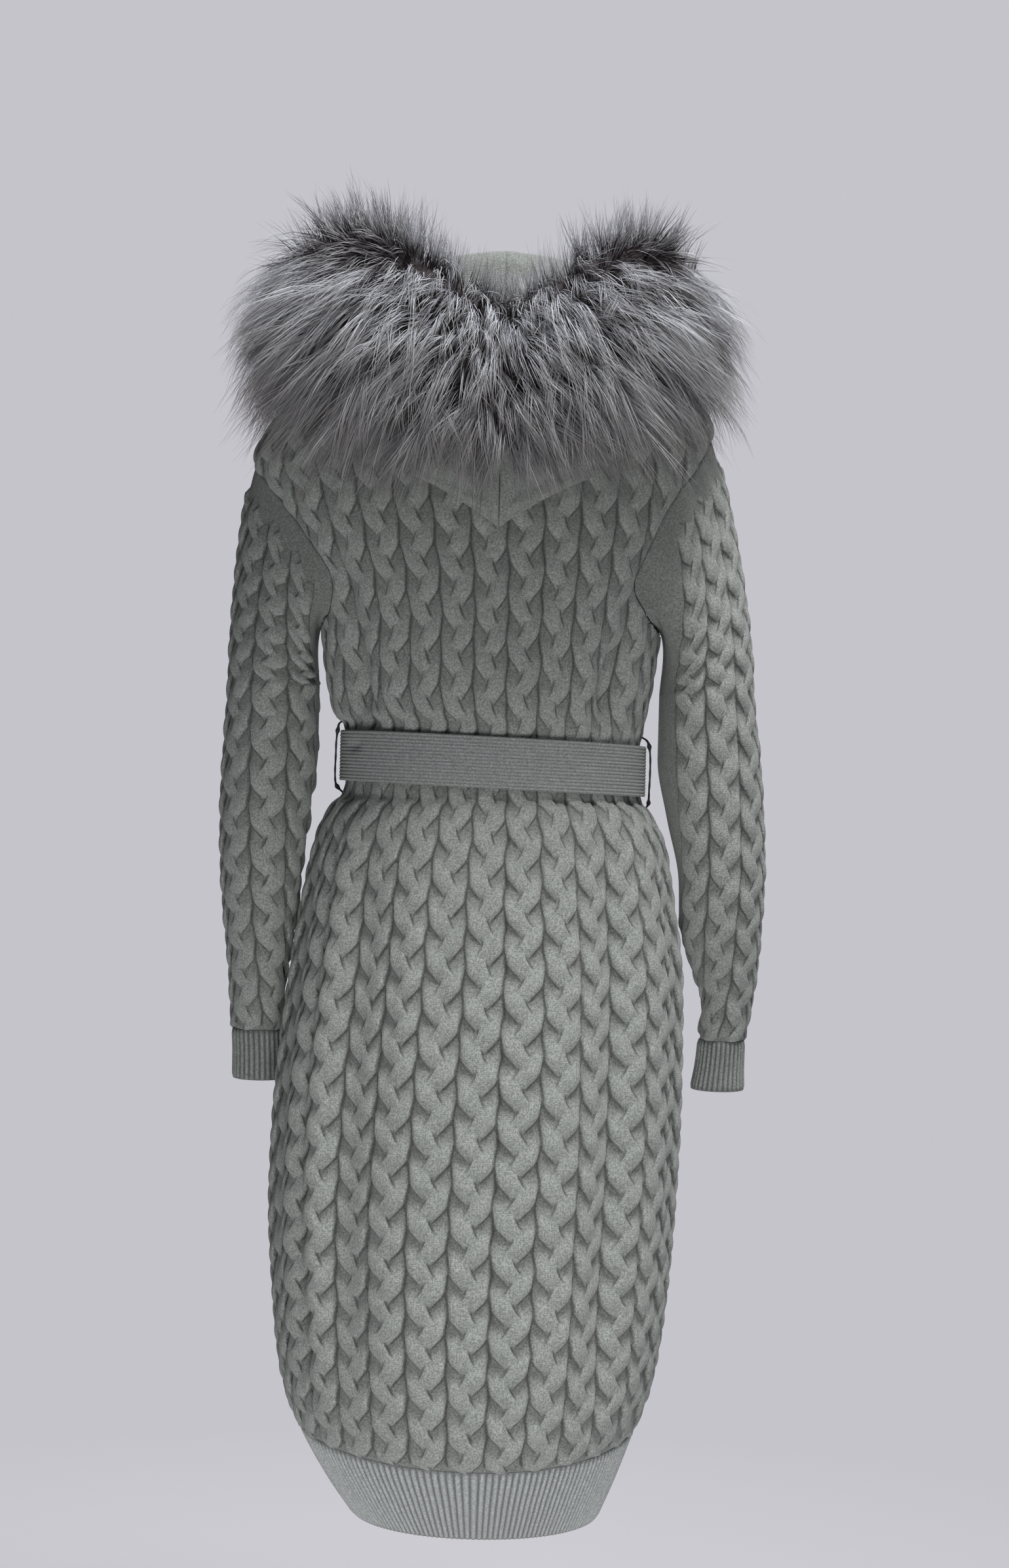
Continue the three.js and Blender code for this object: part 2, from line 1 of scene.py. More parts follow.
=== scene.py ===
"""The looks of a long hooded cardigan in cable knit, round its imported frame.

Lengths in the tables are millimetres in the frame's own axes: +Z up, the fronts facing -Y, +X the
wearer's left, the origin in the middle of the neck opening. They become metres as meshes are made.
"""
import json
import math
from functools import partialmethod

import bpy
import numpy as np
from mathutils import Matrix, Vector
from mathutils.bvhtree import BVHTree

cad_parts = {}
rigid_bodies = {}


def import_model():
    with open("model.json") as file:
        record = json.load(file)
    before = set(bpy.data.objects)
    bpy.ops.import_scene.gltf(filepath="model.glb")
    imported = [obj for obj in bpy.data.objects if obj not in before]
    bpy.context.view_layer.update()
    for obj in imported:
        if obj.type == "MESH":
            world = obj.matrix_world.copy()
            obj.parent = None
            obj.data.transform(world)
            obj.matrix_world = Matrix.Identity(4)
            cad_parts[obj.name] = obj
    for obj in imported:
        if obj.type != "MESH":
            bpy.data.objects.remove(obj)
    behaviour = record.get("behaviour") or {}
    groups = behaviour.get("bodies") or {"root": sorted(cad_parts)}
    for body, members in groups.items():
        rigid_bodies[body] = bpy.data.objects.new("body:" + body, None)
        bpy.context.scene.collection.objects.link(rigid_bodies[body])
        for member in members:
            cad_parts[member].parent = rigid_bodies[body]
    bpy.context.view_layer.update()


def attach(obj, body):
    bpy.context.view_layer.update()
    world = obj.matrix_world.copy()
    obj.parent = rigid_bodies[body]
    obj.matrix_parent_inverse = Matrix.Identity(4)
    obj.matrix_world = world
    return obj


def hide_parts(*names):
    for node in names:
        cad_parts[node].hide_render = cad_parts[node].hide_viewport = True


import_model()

MM = 0.001
TURN = 2 * np.pi
ROOT = "root"

# ---------------------------------------------------------------- the garment's form

CABLE_WALL = 5
RIB_WALL = 4
HOOD_WALL = 3
BELT_WALL = 3.5
GAP = 0.3  # between a sleeve and the armhole, and between a front and its band
SEAM_ANGLE = 0.05  # degrees from a side seam to the cloth on each side of it
RIB_STEP = 0.012  # rows left between cable knit and the rib below it
BAND_HALF = 22
BAND_RAISE = 4.6  # how far the right front band stands over the left one
RAISE_RUN = 34  # the width over which the right front climbs to it


def table(columns, rows):
    return dict(zip(columns.split(), np.array(rows, float).T))


BODY = table(
    "zLeft zRight zBack zFront left right back front square",
    [
        [-1118, -1118, -1118, -1118, 116, 116, 96, 92, 2.1],
        [-1078, -1078, -1082, -1078, 143, 132, 128, 120, 2.1],
        [-1032, -1032, -1042, -1036, 168, 148, 152, 140, 2.15],
        [-985, -985, -990, -988, 184, 163, 162, 148, 2.2],
        [-915, -915, -918, -915, 193, 173, 167, 152, 2.2],
        [-820, -820, -820, -820, 199, 180, 168, 152, 2.2],
        [-720, -720, -720, -720, 196, 183, 164, 148, 2.2],
        [-620, -620, -620, -620, 186, 182, 156, 142, 2.2],
        [-540, -540, -540, -540, 175, 172, 146, 134, 2.2],
        [-485, -485, -485, -485, 164, 162, 134, 126, 2.2],
        [-456, -456, -456, -456, 151, 147, 124, 118, 2.2],
        [-442, -442, -442, -442, 139.5, 138.5, 114.3, 112, 2.2],
        [-384, -384, -384, -384, 139.5, 138.5, 114, 112, 2.2],
        [-368, -368, -368, -368, 150, 141, 117, 116, 2.2],
        [-335, -335, -335, -335, 158, 147, 119, 121, 2.25],
        [-290, -290, -290, -290, 164, 153, 118, 124, 2.3],
        [-284, -284, -283, -283, 165, 154, 118, 124, 2.3],
        [-268, -266, -267, -267, 170, 159, 118, 122, 2.3],
        [-240, -236, -240, -240, 180, 167, 117, 119, 2.35],
        [-207, -200, -205, -205, 196, 177, 115, 114, 2.4],
        [-175, -162, -170, -172, 212, 188, 112, 107, 2.4],
        [-150, -126, -141, -147, 226, 196, 107, 100, 2.4],
        [-132, -98, -115, -126, 231, 198, 102, 93, 2.4],
        [-104, -76, -93, -110, 219, 190, 96, 88, 2.4],
        [-74, -54, -70, -99, 190, 171, 89, 84, 2.35],
        [-43, -33, -45, -90, 149, 139, 81, 80, 2.3],
        [-17, -14, -18, -82, 107, 104, 72, 75, 2.2],
        [0, 0, 2, -73, 77, 76, 64, 69, 2.1],
    ],
)
ROW_HEM = 0
ROW_RIB_TOP = 2
ROW_UNDERARM = 15
ROW_SHOULDER = 22
ROW_NECK = 27

ARMHOLE = table(
    "leftBack rightBack front",
    [
        [0, 0, 0],
        [15, 19, 13],
        [27, 34, 25],
        [32, 41, 34],
        [26, 39, 33],
        [18, 33, 25],
        [9, 19, 12],
        [0, 0, 0],
    ],
)

# The folds of the frame's solids, and the lesser ones. Each leans from one angle at its top to
# another at its bottom. A negative depth is a ridge.
CREASES = table(
    "above below spread depth top bottom fade",
    [
        [36, 36, 8, 20, -284, -392, 44],
        [137, 137, 8, 20, -284, -392, 44],
        [322, 322, 9, 12, -284, -392, 44],
        [218, 218, 9, 12, -284, -392, 44],
        [52, 52, 9, 13, -440, -1040, 150],
        [129, 129, 8, 14, -440, -1040, 150],
        [18, 18, 6, 8, -440, -960, 140],
        [163, 163, 6, 8, -440, -900, 140],
        [78, 78, 6, 4, -440, -720, 120],
        [104, 104, 6, 4, -440, -680, 120],
        [312, 312, 9, 12, -440, -1030, 150],
        [229, 229, 9, 12, -440, -1030, 150],
        [338, 338, 7, 7, -440, -860, 140],
        [201, 201, 7, 7, -440, -900, 140],
        [31, 35, 4.5, 9, -436, -1010, 90],
        [40, 42, 4.5, -4, -436, -1000, 90],
        [90, 88, 3.5, 3.5, -432, -640, 70],
        [66, 63, 4, 3, -436, -820, 140],
        [116, 119, 4, 3, -436, -760, 140],
        [300, 297, 4, 4, -436, -760, 140],
        [244, 247, 4, 4, -436, -820, 140],
        [40, 37, 6, 6, -214, -330, 50],
        [141, 138, 6, 6, -206, -330, 50],
        [318, 321, 6, 5, -214, -330, 50],
        [222, 219, 6, 5, -214, -330, 50],
        [62, 64, 5, 3, -250, -388, 60],
        [112, 110, 5, 3, -270, -388, 60],
    ],
)

SLEEVE = table(
    "z leftIn leftOut rightIn rightOut y depth",
    [
        [-345, 165, 251, 154, 243, -2, 54],
        [-403, 165, 254, 154, 251, -4, 50],
        [-459, 172, 256, 164, 256, -7, 46],
        [-515, 180, 255, 177, 259, -12, 42],
        [-562, 184, 252, 180, 258, -20, 39],
        [-606, 190, 248, 196, 256, -30, 35],
        [-642, 194, 246, 205, 252, -38, 31],
        [-673, 194, 245, 204, 248, -43, 28],
        [-698, 193, 244, 202, 248, -46, 27],
        [-721, 192, 244, 198, 249, -48, 28],
    ],
)
SLEEVE_CUFF = 8
SLEEVE_END = 10

HOOD_COLUMNS = "radius z"
HOOD = {
    "front": table(
        HOOD_COLUMNS,
        [
            [73, -64], [76, -48], [81, -40], [87, -42], [92, -50],
            [97, -58], [101, -58], [103, -50], [104, -40],
        ],
    ),
    "side": table(
        HOOD_COLUMNS,
        [
            [77, 3], [78, 28], [84, 44], [96, 38], [108, 14],
            [124, -8], [138, -10], [145, 8], [141, 32],
        ],
    ),
    "back": table(
        HOOD_COLUMNS,
        [
            [65, 5], [66, 34], [74, 53], [90, 42], [102, -40],
            [116, -140], [128, -203], [143, -168], [141, -36],
        ],
    ),
}
HOOD_FRONT_BEARING = -78
HOOD_BACK_BEARING = 55  # past it the hood has its back's form
HOOD_EARLY_DROP = 0.62  # the share of the drop to the back's form that comes by then
HOOD_LIFT = 5
HALVINGS = 20
FAR_BELOW = -1e9

FUR = table(
    "bearing radius z thick tall lean",
    [
        [-82, 138, -76, 15, 24, 0],
        [-66, 146, -66, 17, 30, 0],
        [-45, 160, -42, 19, 36, 2],
        [-20, 174, -18, 20, 40, 4],
        [0, 180, -6, 21, 44, 4],
        [22, 181, 0, 21, 52, 6],
        [48, 178, -8, 21, 62, 10],
        [70, 176, -46, 21, 62, 12],
        [90, 174, -78, 21, 52, 12],
    ],
)


def smooth(x):
    t = np.clip(x, 0, 1)
    return t * t * (3 - 2 * t)


def lerp(a, b, t):
    return a + (b - a) * t


def cosd(degrees):
    return np.cos(np.radians(degrees))


def sind(degrees):
    return np.sin(np.radians(degrees))


def bell(x):
    """1 at 0, falling away to next to nothing past 2 on both sides."""
    return np.exp(-(x**2))


def pair(a, b):
    """Two values as arrays of one shape."""
    return np.broadcast_arrays(np.asarray(a, float), np.asarray(b, float))


def hermite(start, end, leave, arrive, t):
    """The curve from start to end that leaves and arrives with given slopes."""
    curve = start * (2 * t**3 - 3 * t**2 + 1) + end * (3 * t**2 - 2 * t**3)
    return curve + leave * (t**3 - 2 * t**2 + t) + arrive * (t**3 - t**2)


def signed_power(x, power):
    return np.sign(x) * np.abs(x) ** power


def unit(v):
    return v / np.maximum(np.linalg.norm(v, axis=-1, keepdims=True), 1e-9)


def vector(x, y, z):
    return np.stack(np.broadcast_arrays(x, y, z), -1).astype(float)


def slope(a, b, c):
    """The slope at b, limited so that a curve never swings past its points."""
    least = np.minimum(np.abs(c - a) / 2, 2 * np.minimum(np.abs(b - a), np.abs(c - b)))
    return np.where((b - a) * (c - b) <= 0, 0, np.sign(c - a) * least)


def between(rows, name, at):
    """A column of a table at fractional rows, on a smooth curve that never swings past a row."""
    values = rows[name]
    last = len(values) - 1
    at = np.asarray(at, float)
    i = np.clip(np.floor(at), 0, last - 1).astype(int)
    t = at - i
    b, c = values[i], values[i + 1]
    a = np.where(i > 0, values[np.maximum(i - 1, 0)], 2 * b - c)
    d = np.where(i + 2 <= last, values[np.minimum(i + 2, last)], 2 * c - b)
    leave = slope(a, b, c)
    arrive = slope(b, c, d)
    return b + t * (leave + t * (3 * (c - b) - 2 * leave - arrive + t * (2 * (b - c) + leave + arrive)))


def crease_depth(angle, z):
    """How far the folds draw the body in."""
    depth = 0
    for above, below, spread, deep, top, bottom, fade in zip(*CREASES.values()):
        middle = lerp(above, below, np.clip((top - z) / (top - bottom), 0, 1))
        apart = (angle - middle + 540) % 360 - 180
        along = smooth((top - z) / fade) * smooth((z - bottom) / fade)
        depth = depth + deep * bell(apart / spread) * along
    return depth


def ring_reaches(row):
    return {name: between(BODY, name, row) for name in BODY}


def body_face(angle, row):
    """The body's outer face at angles in degrees from +X towards +Y, and at fractional rows."""
    angle, row = pair(angle, row)
    ring = ring_reaches(row)
    c, s = cosd(angle), sind(angle)
    power = 2 / ring["square"]
    x = np.where(c > 0, ring["left"], ring["right"]) * signed_power(c, power)
    y = np.where(s > 0, ring["back"], ring["front"]) * signed_power(s, power)
    side = np.where(c > 0, ring["zLeft"], ring["zRight"])
    middle = np.where(s > 0, ring["zBack"], ring["zFront"])
    z = lerp(side, middle, s * s)
    scale = 1 - crease_depth(angle, z) / np.hypot(x, y)
    return vector(x * scale, y * scale, z)


def normals(face, a, b, step_a, step_b):
    """Unit normals of face(a, b), by its slopes."""
    along_a = face(a + step_a, b) - face(a - step_a, b)
    along_b = face(a, b + step_b) - face(a, b - step_b)
    return unit(np.cross(along_a, along_b))


NORMAL_STEPS = (0.1, 1e-3)  # degrees and rows


def body_normal(angle, row):
    return normals(body_face, angle, row, *NORMAL_STEPS)


def front_angle(x, row):
    """The angle of a point on the front that is x from its middle."""
    reach = between(BODY, "left" if x > 0 else "right", row)
    share = (abs(x) / reach) ** (between(BODY, "square", row) / 2)
    return 270 + np.sign(x) * np.degrees(np.arcsin(share))


def armhole(edge, row):
    at = np.clip(np.asarray(row, float) - ROW_UNDERARM, 0, len(ARMHOLE[edge]) - 1)
    return between(ARMHOLE, edge, at)


def right_front_raise(angle, row):
    """How far the right front climbs beside its band, which lies over the left one."""
    edge = front_angle(-BAND_HALF, row)
    foot = front_angle(-BAND_HALF - RAISE_RUN, row)
    return BAND_RAISE * smooth((angle - foot) / (edge - foot))


def sleeve_ring(side, phi, row):
    """A point of a sleeve's tube, below the cap."""
    name = "left" if side > 0 else "right"
    near = between(SLEEVE, name + "In", row)
    far = between(SLEEVE, name + "Out", row)
    c, s = cosd(phi), sind(phi)
    x = side * ((near + far) / 2 - c * (far - near) / 2)
    y = between(SLEEVE, "y", row) + between(SLEEVE, "depth", row) * s
    return vector(x, y, between(SLEEVE, "z", row))


def armhole_at(side, phi):
    """The angle and row of the armhole's edge where a sleeve's phi meets it."""
    turn = (phi + 540) % 360 - 180
    row = lerp(ROW_UNDERARM, ROW_SHOULDER, np.abs(turn) / 180)
    back = armhole("leftBack" if side > 0 else "rightBack", row)
    arm = np.where(turn > 0, back, -armhole("front", row))
    return (arm if side > 0 else 180 - arm), row


# Slopes of a sleeve's cap, from the underarm's to the top's.
CAP_OUT = (24, 38)
CAP_DOWN = (0, -60)
CAP_ALONG = 28  # straight on from the body's cloth
CAP_END = (-40, -225)


def sleeve_face(side, phi, row):
    """A sleeve's outer face: phi is 0 at the underarm, 90 at the back and 180 outside, and rows 0 to
    1 are the cap."""
    phi, row = pair(phi, row)
    rise = (1 - cosd(phi)) / 2
    along = body_face(*armhole_at(side, phi + 2)) - body_face(*armhole_at(side, phi - 2))
    into = unit(np.cross(along, body_normal(*armhole_at(side, phi)))) * -side
    start = body_face(*armhole_at(side, phi)) + into * GAP
    end = sleeve_ring(side, phi, 0)
    leave = vector(side * lerp(*CAP_OUT, rise), 0 * rise, lerp(*CAP_DOWN, rise)) + into * CAP_ALONG
    arrive = vector(0 * rise, 0 * rise, lerp(*CAP_END, rise))
    cap = hermite(start, end, leave, arrive, np.clip(row, 0, 1)[..., None])
    below = sleeve_ring(side, phi, np.maximum(row - 1, 0))
    return np.where(row[..., None] >= 1, below, cap)


def shoulder_height(x, y):
    """The height of the shoulders below a point of the hood, or far below where there are none."""
    x, y = pair(x, y)

    def beyond(row):
        ring = ring_reaches(row)
        reach_x = np.where(x > 0, ring["left"], ring["right"]) + HOOD_LIFT
        reach_y = np.where(y > 0, ring["back"], ring["front"]) + HOOD_LIFT
        return (np.abs(x) / reach_x) ** ring["square"] + (np.abs(y) / reach_y) ** ring["square"] - 1

    # Halved until it is found, as the shoulders' rings narrow towards the neck.
    low = np.full(x.shape, float(ROW_SHOULDER))
    high = np.full(x.shape, float(ROW_NECK))
    outside = (beyond(low) > 0) == (beyond(high) > 0)
    for _ in range(HALVINGS):
        middle = (low + high) / 2
        over = beyond(middle) > 0
        high = np.where(over, middle, high)
        low = np.where(over, low, middle)
    ring = ring_reaches(low)
    turn = np.arctan2(
        signed_power(y / np.where(y > 0, ring["back"], ring["front"]), ring["square"] / 2),
        signed_power(x / np.where(x > 0, ring["left"], ring["right"]), ring["square"] / 2),
    )
    height = body_face(np.degrees(turn) % 360, low)[..., 2]
    return np.where(outside, FAR_BELOW, height)


def hood_face(side, bearing, s):
    """A point of the hood: bearing 90 is its middle seam, and s runs from the neck to the fur's edge."""
    bearing, s = pair(bearing, s)
    to_side = smooth((bearing - HOOD_FRONT_BEARING) / -HOOD_FRONT_BEARING)
    to_back = smooth(bearing / HOOD_BACK_BEARING)
    to_tip = np.maximum(0, bearing / 90) ** 2
    at = s * (len(HOOD["side"]["z"]) - 1)
    part = {(p, n): between(HOOD[p], n, at) for p in HOOD for n in ("radius", "z")}
    radius = lerp(part["front", "radius"], part["side", "radius"], to_side)
    radius = lerp(radius, part["back", "radius"], to_back)
    drop = HOOD_EARLY_DROP * to_back + (1 - HOOD_EARLY_DROP) * to_tip
    height = lerp(lerp(part["front", "z"], part["side", "z"], to_side), part["back", "z"], drop)
    x = side * radius * cosd(bearing)
    y = radius * sind(bearing)
    return vector(x, y, np.maximum(height, shoulder_height(x, y) + HOOD_LIFT))


# ---------------------------------------------------------------- the cable stitch

STRANDS = 3
SWING = 0.29  # how far a strand swings from its column's middle, in columns
HASTE = 1.9  # how fast it crosses the middle, against waiting at the side
LATE = 0.52  # how long it stays on top once past its neighbours, radians
STRAND_HALF = 0.275  # half a strand's width across the column
STRAND_RISE = 2.4  # how far a strand climbs over its neighbours and dips under them
STRAND_BODY = 2.6
STRAND_SQUARE = 3.0  # the power of its flattened top
WANDER = 0.036  # how far the line between two columns swings as their strands turn
WANDER_START = 0.25  # where in a repeat that swing starts
PHASES = ((4.1, 0.07), (9.7, 0.04))  # how each column's start varies: how quickly, and how far
EDGE_DROP = 2.8
EDGE_WIDTH = 0.1
CABLE_TOP = 0.6
CREASE_FLOOR = -4.4
NOWHERE = -9.0
SHADOW_REACH = 0.3  # how far past a strand's edge its shade falls, in half widths
SHADOW_DROP = 2.2  # the drop below a strand that is fully in its shade


def column_phase(column):
    """Where each column's plait starts, as a share of a repeat."""
    return sum(far * np.sin(quick * column) for quick, far in PHASES)


def cable(across, down):
    """Height of the plaited columns over the knit. across counts columns, down counts repeats."""
    moved = across - WANDER * np.cos(TURN * (down + WANDER_START))
    column = np.floor(moved)
    x = moved - column - 0.5
    height = np.full(x.shape, NOWHERE)
    for strand in range(STRANDS):
        theta = TURN * (down + column_phase(column) + strand) / STRANDS
        middle = SWING * np.tanh(HASTE * np.sin(theta)) / np.tanh(HASTE)
        off = np.abs(x - middle) / STRAND_HALF
        body = STRAND_BODY * (np.maximum(0, 1 - off**STRAND_SQUARE)) ** (1 / STRAND_SQUARE)
        top = body - STRAND_RISE * np.sin(2 * theta - LATE) - STRAND_BODY
        height = np.maximum(height, np.where(off < 1, top, NOWHERE))
    height = height + CABLE_TOP - EDGE_DROP * (1 - smooth((0.5 - np.abs(x)) / EDGE_WIDTH)) ** 2
    return np.maximum(height, CREASE_FLOOR)


def soft_cable(across, down, step_across, step_down):
    """The same height, averaged over each point's share of a mesh."""
    thirds = (-0.33, 0, 0.33)
    parts = [cable(across + step_across * i, down + step_down * j) for i in thirds for j in thirds]
    return sum(parts) / len(parts)


# ---------------------------------------------------------------- meshes


def split_quads(points, a, b, c, d):
    """Triangles of quads, each cut along its shorter diagonal, without the collapsed ones."""
    one = np.linalg.norm(points[a] - points[c], axis=-1)
    two = np.linalg.norm(points[b] - points[d], axis=-1)
    pick = one <= two
    first = np.where(pick[:, None], np.stack([a, b, c], 1), np.stack([a, b, d], 1))
    second = np.where(pick[:, None], np.stack([a, c, d], 1), np.stack([b, c, d], 1))
    faces = np.concatenate([first, second])
    whole = (faces[:, 0] != faces[:, 1]) & (faces[:, 1] != faces[:, 2]) & (faces[:, 2] != faces[:, 0])
    return faces[whole]


class Grid:
    """A grid of points whose rows run only from first to last, with the points beyond drawn in."""

    def __init__(self, points, first=None, last=None, closed=False):
        self.rows, self.columns = points.shape[:2]
        self.points = points.reshape(-1, 3)
        self.first = np.zeros(self.rows, int) if first is None else first
        self.last = np.full(self.rows, self.columns - 1) if last is None else last
        self.closed = closed

    def index(self, row, column):
        at = np.clip(column, self.first[row], self.last[row])
        if self.closed:
            at = np.where(at == self.last[row], self.first[row], at)
        return at + row * self.columns

    def faces(self):
        row, column = np.meshgrid(np.arange(self.rows), np.arange(self.columns), indexing="ij")
        index = self.index(row, column)
        corners = [index[:-1, :-1], index[:-1, 1:], index[1:, 1:], index[1:, :-1]]
        return split_quads(self.points, *[corner.ravel() for corner in corners])

    def row_rim(self, row):
        return self.index(row, np.arange(self.first[row], self.last[row] + 1))

    def side_rim(self, which):
        return self.index(np.arange(self.rows), which)


def zipper(outer, inner, outer_at, inner_at, flip):
    """Triangles between two rims, stepping along whichever is behind."""
    faces = []
    i = j = 0
    while i < len(outer) - 1 or j < len(inner) - 1:
        step_outer = j == len(inner) - 1 or (i < len(outer) - 1 and outer_at[i + 1] <= inner_at[j + 1])
        if step_outer:
            faces.append((outer[i + 1], outer[i], inner[j]))
            i += 1
        else:
            faces.append((outer[i], inner[j], inner[j + 1]))
            j += 1
    faces = np.array(faces)
    return faces[:, ::-1] if flip else faces


def shell(outer, inner, outer_across, inner_across, outer_rows, inner_rows):
    """Points and triangles of one closed wall between two grids of the same cloth."""
    start = len(outer.points)
    points = np.concatenate([outer.points, inner.points])
    parts = [outer.faces(), inner.faces()[:, ::-1] + start]
    for end, flip in ((0, False), (-1, True)):
        row_out, row_in = range(outer.rows)[end], range(inner.rows)[end]
        out_at = outer_across[row_out][outer.first[row_out] : outer.last[row_out] + 1]
        in_at = inner_across[row_in][inner.first[row_in] : inner.last[row_in] + 1]
        parts.append(zipper(outer.row_rim(row_out), inner.row_rim(row_in) + start, out_at, in_at, flip))
    if not outer.closed:
        for out_side, in_side, flip in ((outer.first, inner.first, True), (outer.last, inner.last, False)):
            rim_out = outer.side_rim(out_side)
            rim_in = inner.side_rim(in_side) + start
            parts.append(zipper(rim_out, rim_in, outer_rows, inner_rows, flip))
    faces = np.concatenate(parts)
    whole = (faces[:, 0] != faces[:, 1]) & (faces[:, 1] != faces[:, 2]) & (faces[:, 2] != faces[:, 0])
    return points, faces[whole]


def every(step, count):
    """Each step-th of count places, and the last."""
    return np.unique(np.append(np.arange(0, count, step), count - 1))


def stacked(outer, inner):
    """The values of two grids' points, as make() takes them."""
    return np.concatenate([outer.reshape(-1, 3), inner.reshape(-1, 3)])


def capped(grid, tips):
    """Points and triangles of a closed grid with a fan of triangles over each end."""
    faces = [grid.faces()]
    for end, row in enumerate((0, grid.rows - 1)):
        rim = grid.row_rim(row)
        fan = np.stack([rim[:-1], rim[1:], np.full(len(rim) - 1, len(grid.points) + end)], 1)
        faces.append(fan if end else fan[:, ::-1])
    return np.concatenate([grid.points, tips]), np.concatenate(faces)


def linked(name, data):
    """A new object in the scene."""
    thing = bpy.data.objects.new(name, data)
    bpy.context.collection.objects.link(thing)
    return thing


def make(name, points, faces, material, values=None, turn=True):
    """A mesh object, in millimetres until here, that rides on the part. turn sets its faces outward."""
    used, faces = np.unique(faces, return_inverse=True)
    faces = faces.reshape(-1, 3)
    points = points[used]
    if turn:
        a, b, c = (points[faces[:, i]] for i in range(3))
        if np.sum(a * np.cross(b, c)) < 0:
            faces = faces[:, ::-1]
    mesh = bpy.data.meshes.new(name)
    mesh.vertices.add(len(points))
    mesh.vertices.foreach_set("co", (points * MM).astype(np.float32).ravel())
    mesh.loops.add(faces.size)
    mesh.loops.foreach_set("vertex_index", faces.astype(np.int32).ravel())
    mesh.polygons.add(len(faces))
    mesh.polygons.foreach_set("loop_start", np.arange(0, faces.size, 3, dtype=np.int32))
    mesh.polygons.foreach_set("use_smooth", np.ones(len(faces), bool))
    for key, value in (values or {}).items():
        value = np.asarray(value, np.float32)[used]
        kind = "FLOAT_VECTOR" if value.ndim == 2 else "FLOAT"
        layer = mesh.attributes.new(key, kind, "POINT")
        layer.data.foreach_set("vector" if value.ndim == 2 else "value", value.ravel())
    mesh.update()
    mesh.validate()
    piece = linked(name, mesh)
    mesh.materials.append(material)
    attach(piece, ROOT)
    return piece


def path_lengths(points):
    """Distance along each line of points, along the last axis but one."""
    steps = np.linalg.norm(np.diff(points, axis=-2), axis=-1)
    zero = np.zeros(steps.shape[:-1] + (1,))
    return np.concatenate([zero, np.cumsum(steps, -1)], -1)


def even_rows(line, low, high, spacing):
    """Rows from low to high, spaced evenly along line(row), and the distance at each."""
    rows = np.linspace(low, high, 600)
    along = path_lengths(line(rows))
    count = max(2, int(round(along[-1] / spacing)) + 1)
    at = np.linspace(0, along[-1], count)
    return np.interp(at, along, rows), at


# ---------------------------------------------------------------- cable-knit cloth

COLUMN_SAMPLES = 14
INNER_COLUMN_SAMPLES = 3
INNER_EVERY = 5  # outer rows to one of the inside's
ROW_SPACING = 2.8
PANEL_STEP, SLEEVE_STEP = 0.75, 1.5  # degrees between measures across the cloth
FULL_WIDTH = 34  # a column this wide has strands of their full height
PLAIN_LEVEL = -1.4  # plain knit lies this far under the cables' own level
BELT_TOP, BELT_BOTTOM = -386, -440
BELT_EASE = 6  # how far past the belt the knit is pressed flat
REPEAT = table("z length", [[-1060, 36], [-800, 38], [-500, 39], [-410, 41], [-300, 42.5], [0, 42.5]])


def repeats_along(line, lengths):
    """Repeats of the plait down a line that runs from its bottom up to its top."""
    middle = (line[1:, 2] + line[:-1, 2]) / 2
    steps = np.diff(path_lengths(line)) / np.interp(middle, lengths["z"], lengths["length"])
    return np.concatenate([[0], np.cumsum(steps[::-1])])[::-1]


def under_belt(z):
    return smooth((BELT_TOP + BELT_EASE - z) / 12) * smooth((z - BELT_BOTTOM + BELT_EASE) / 12)


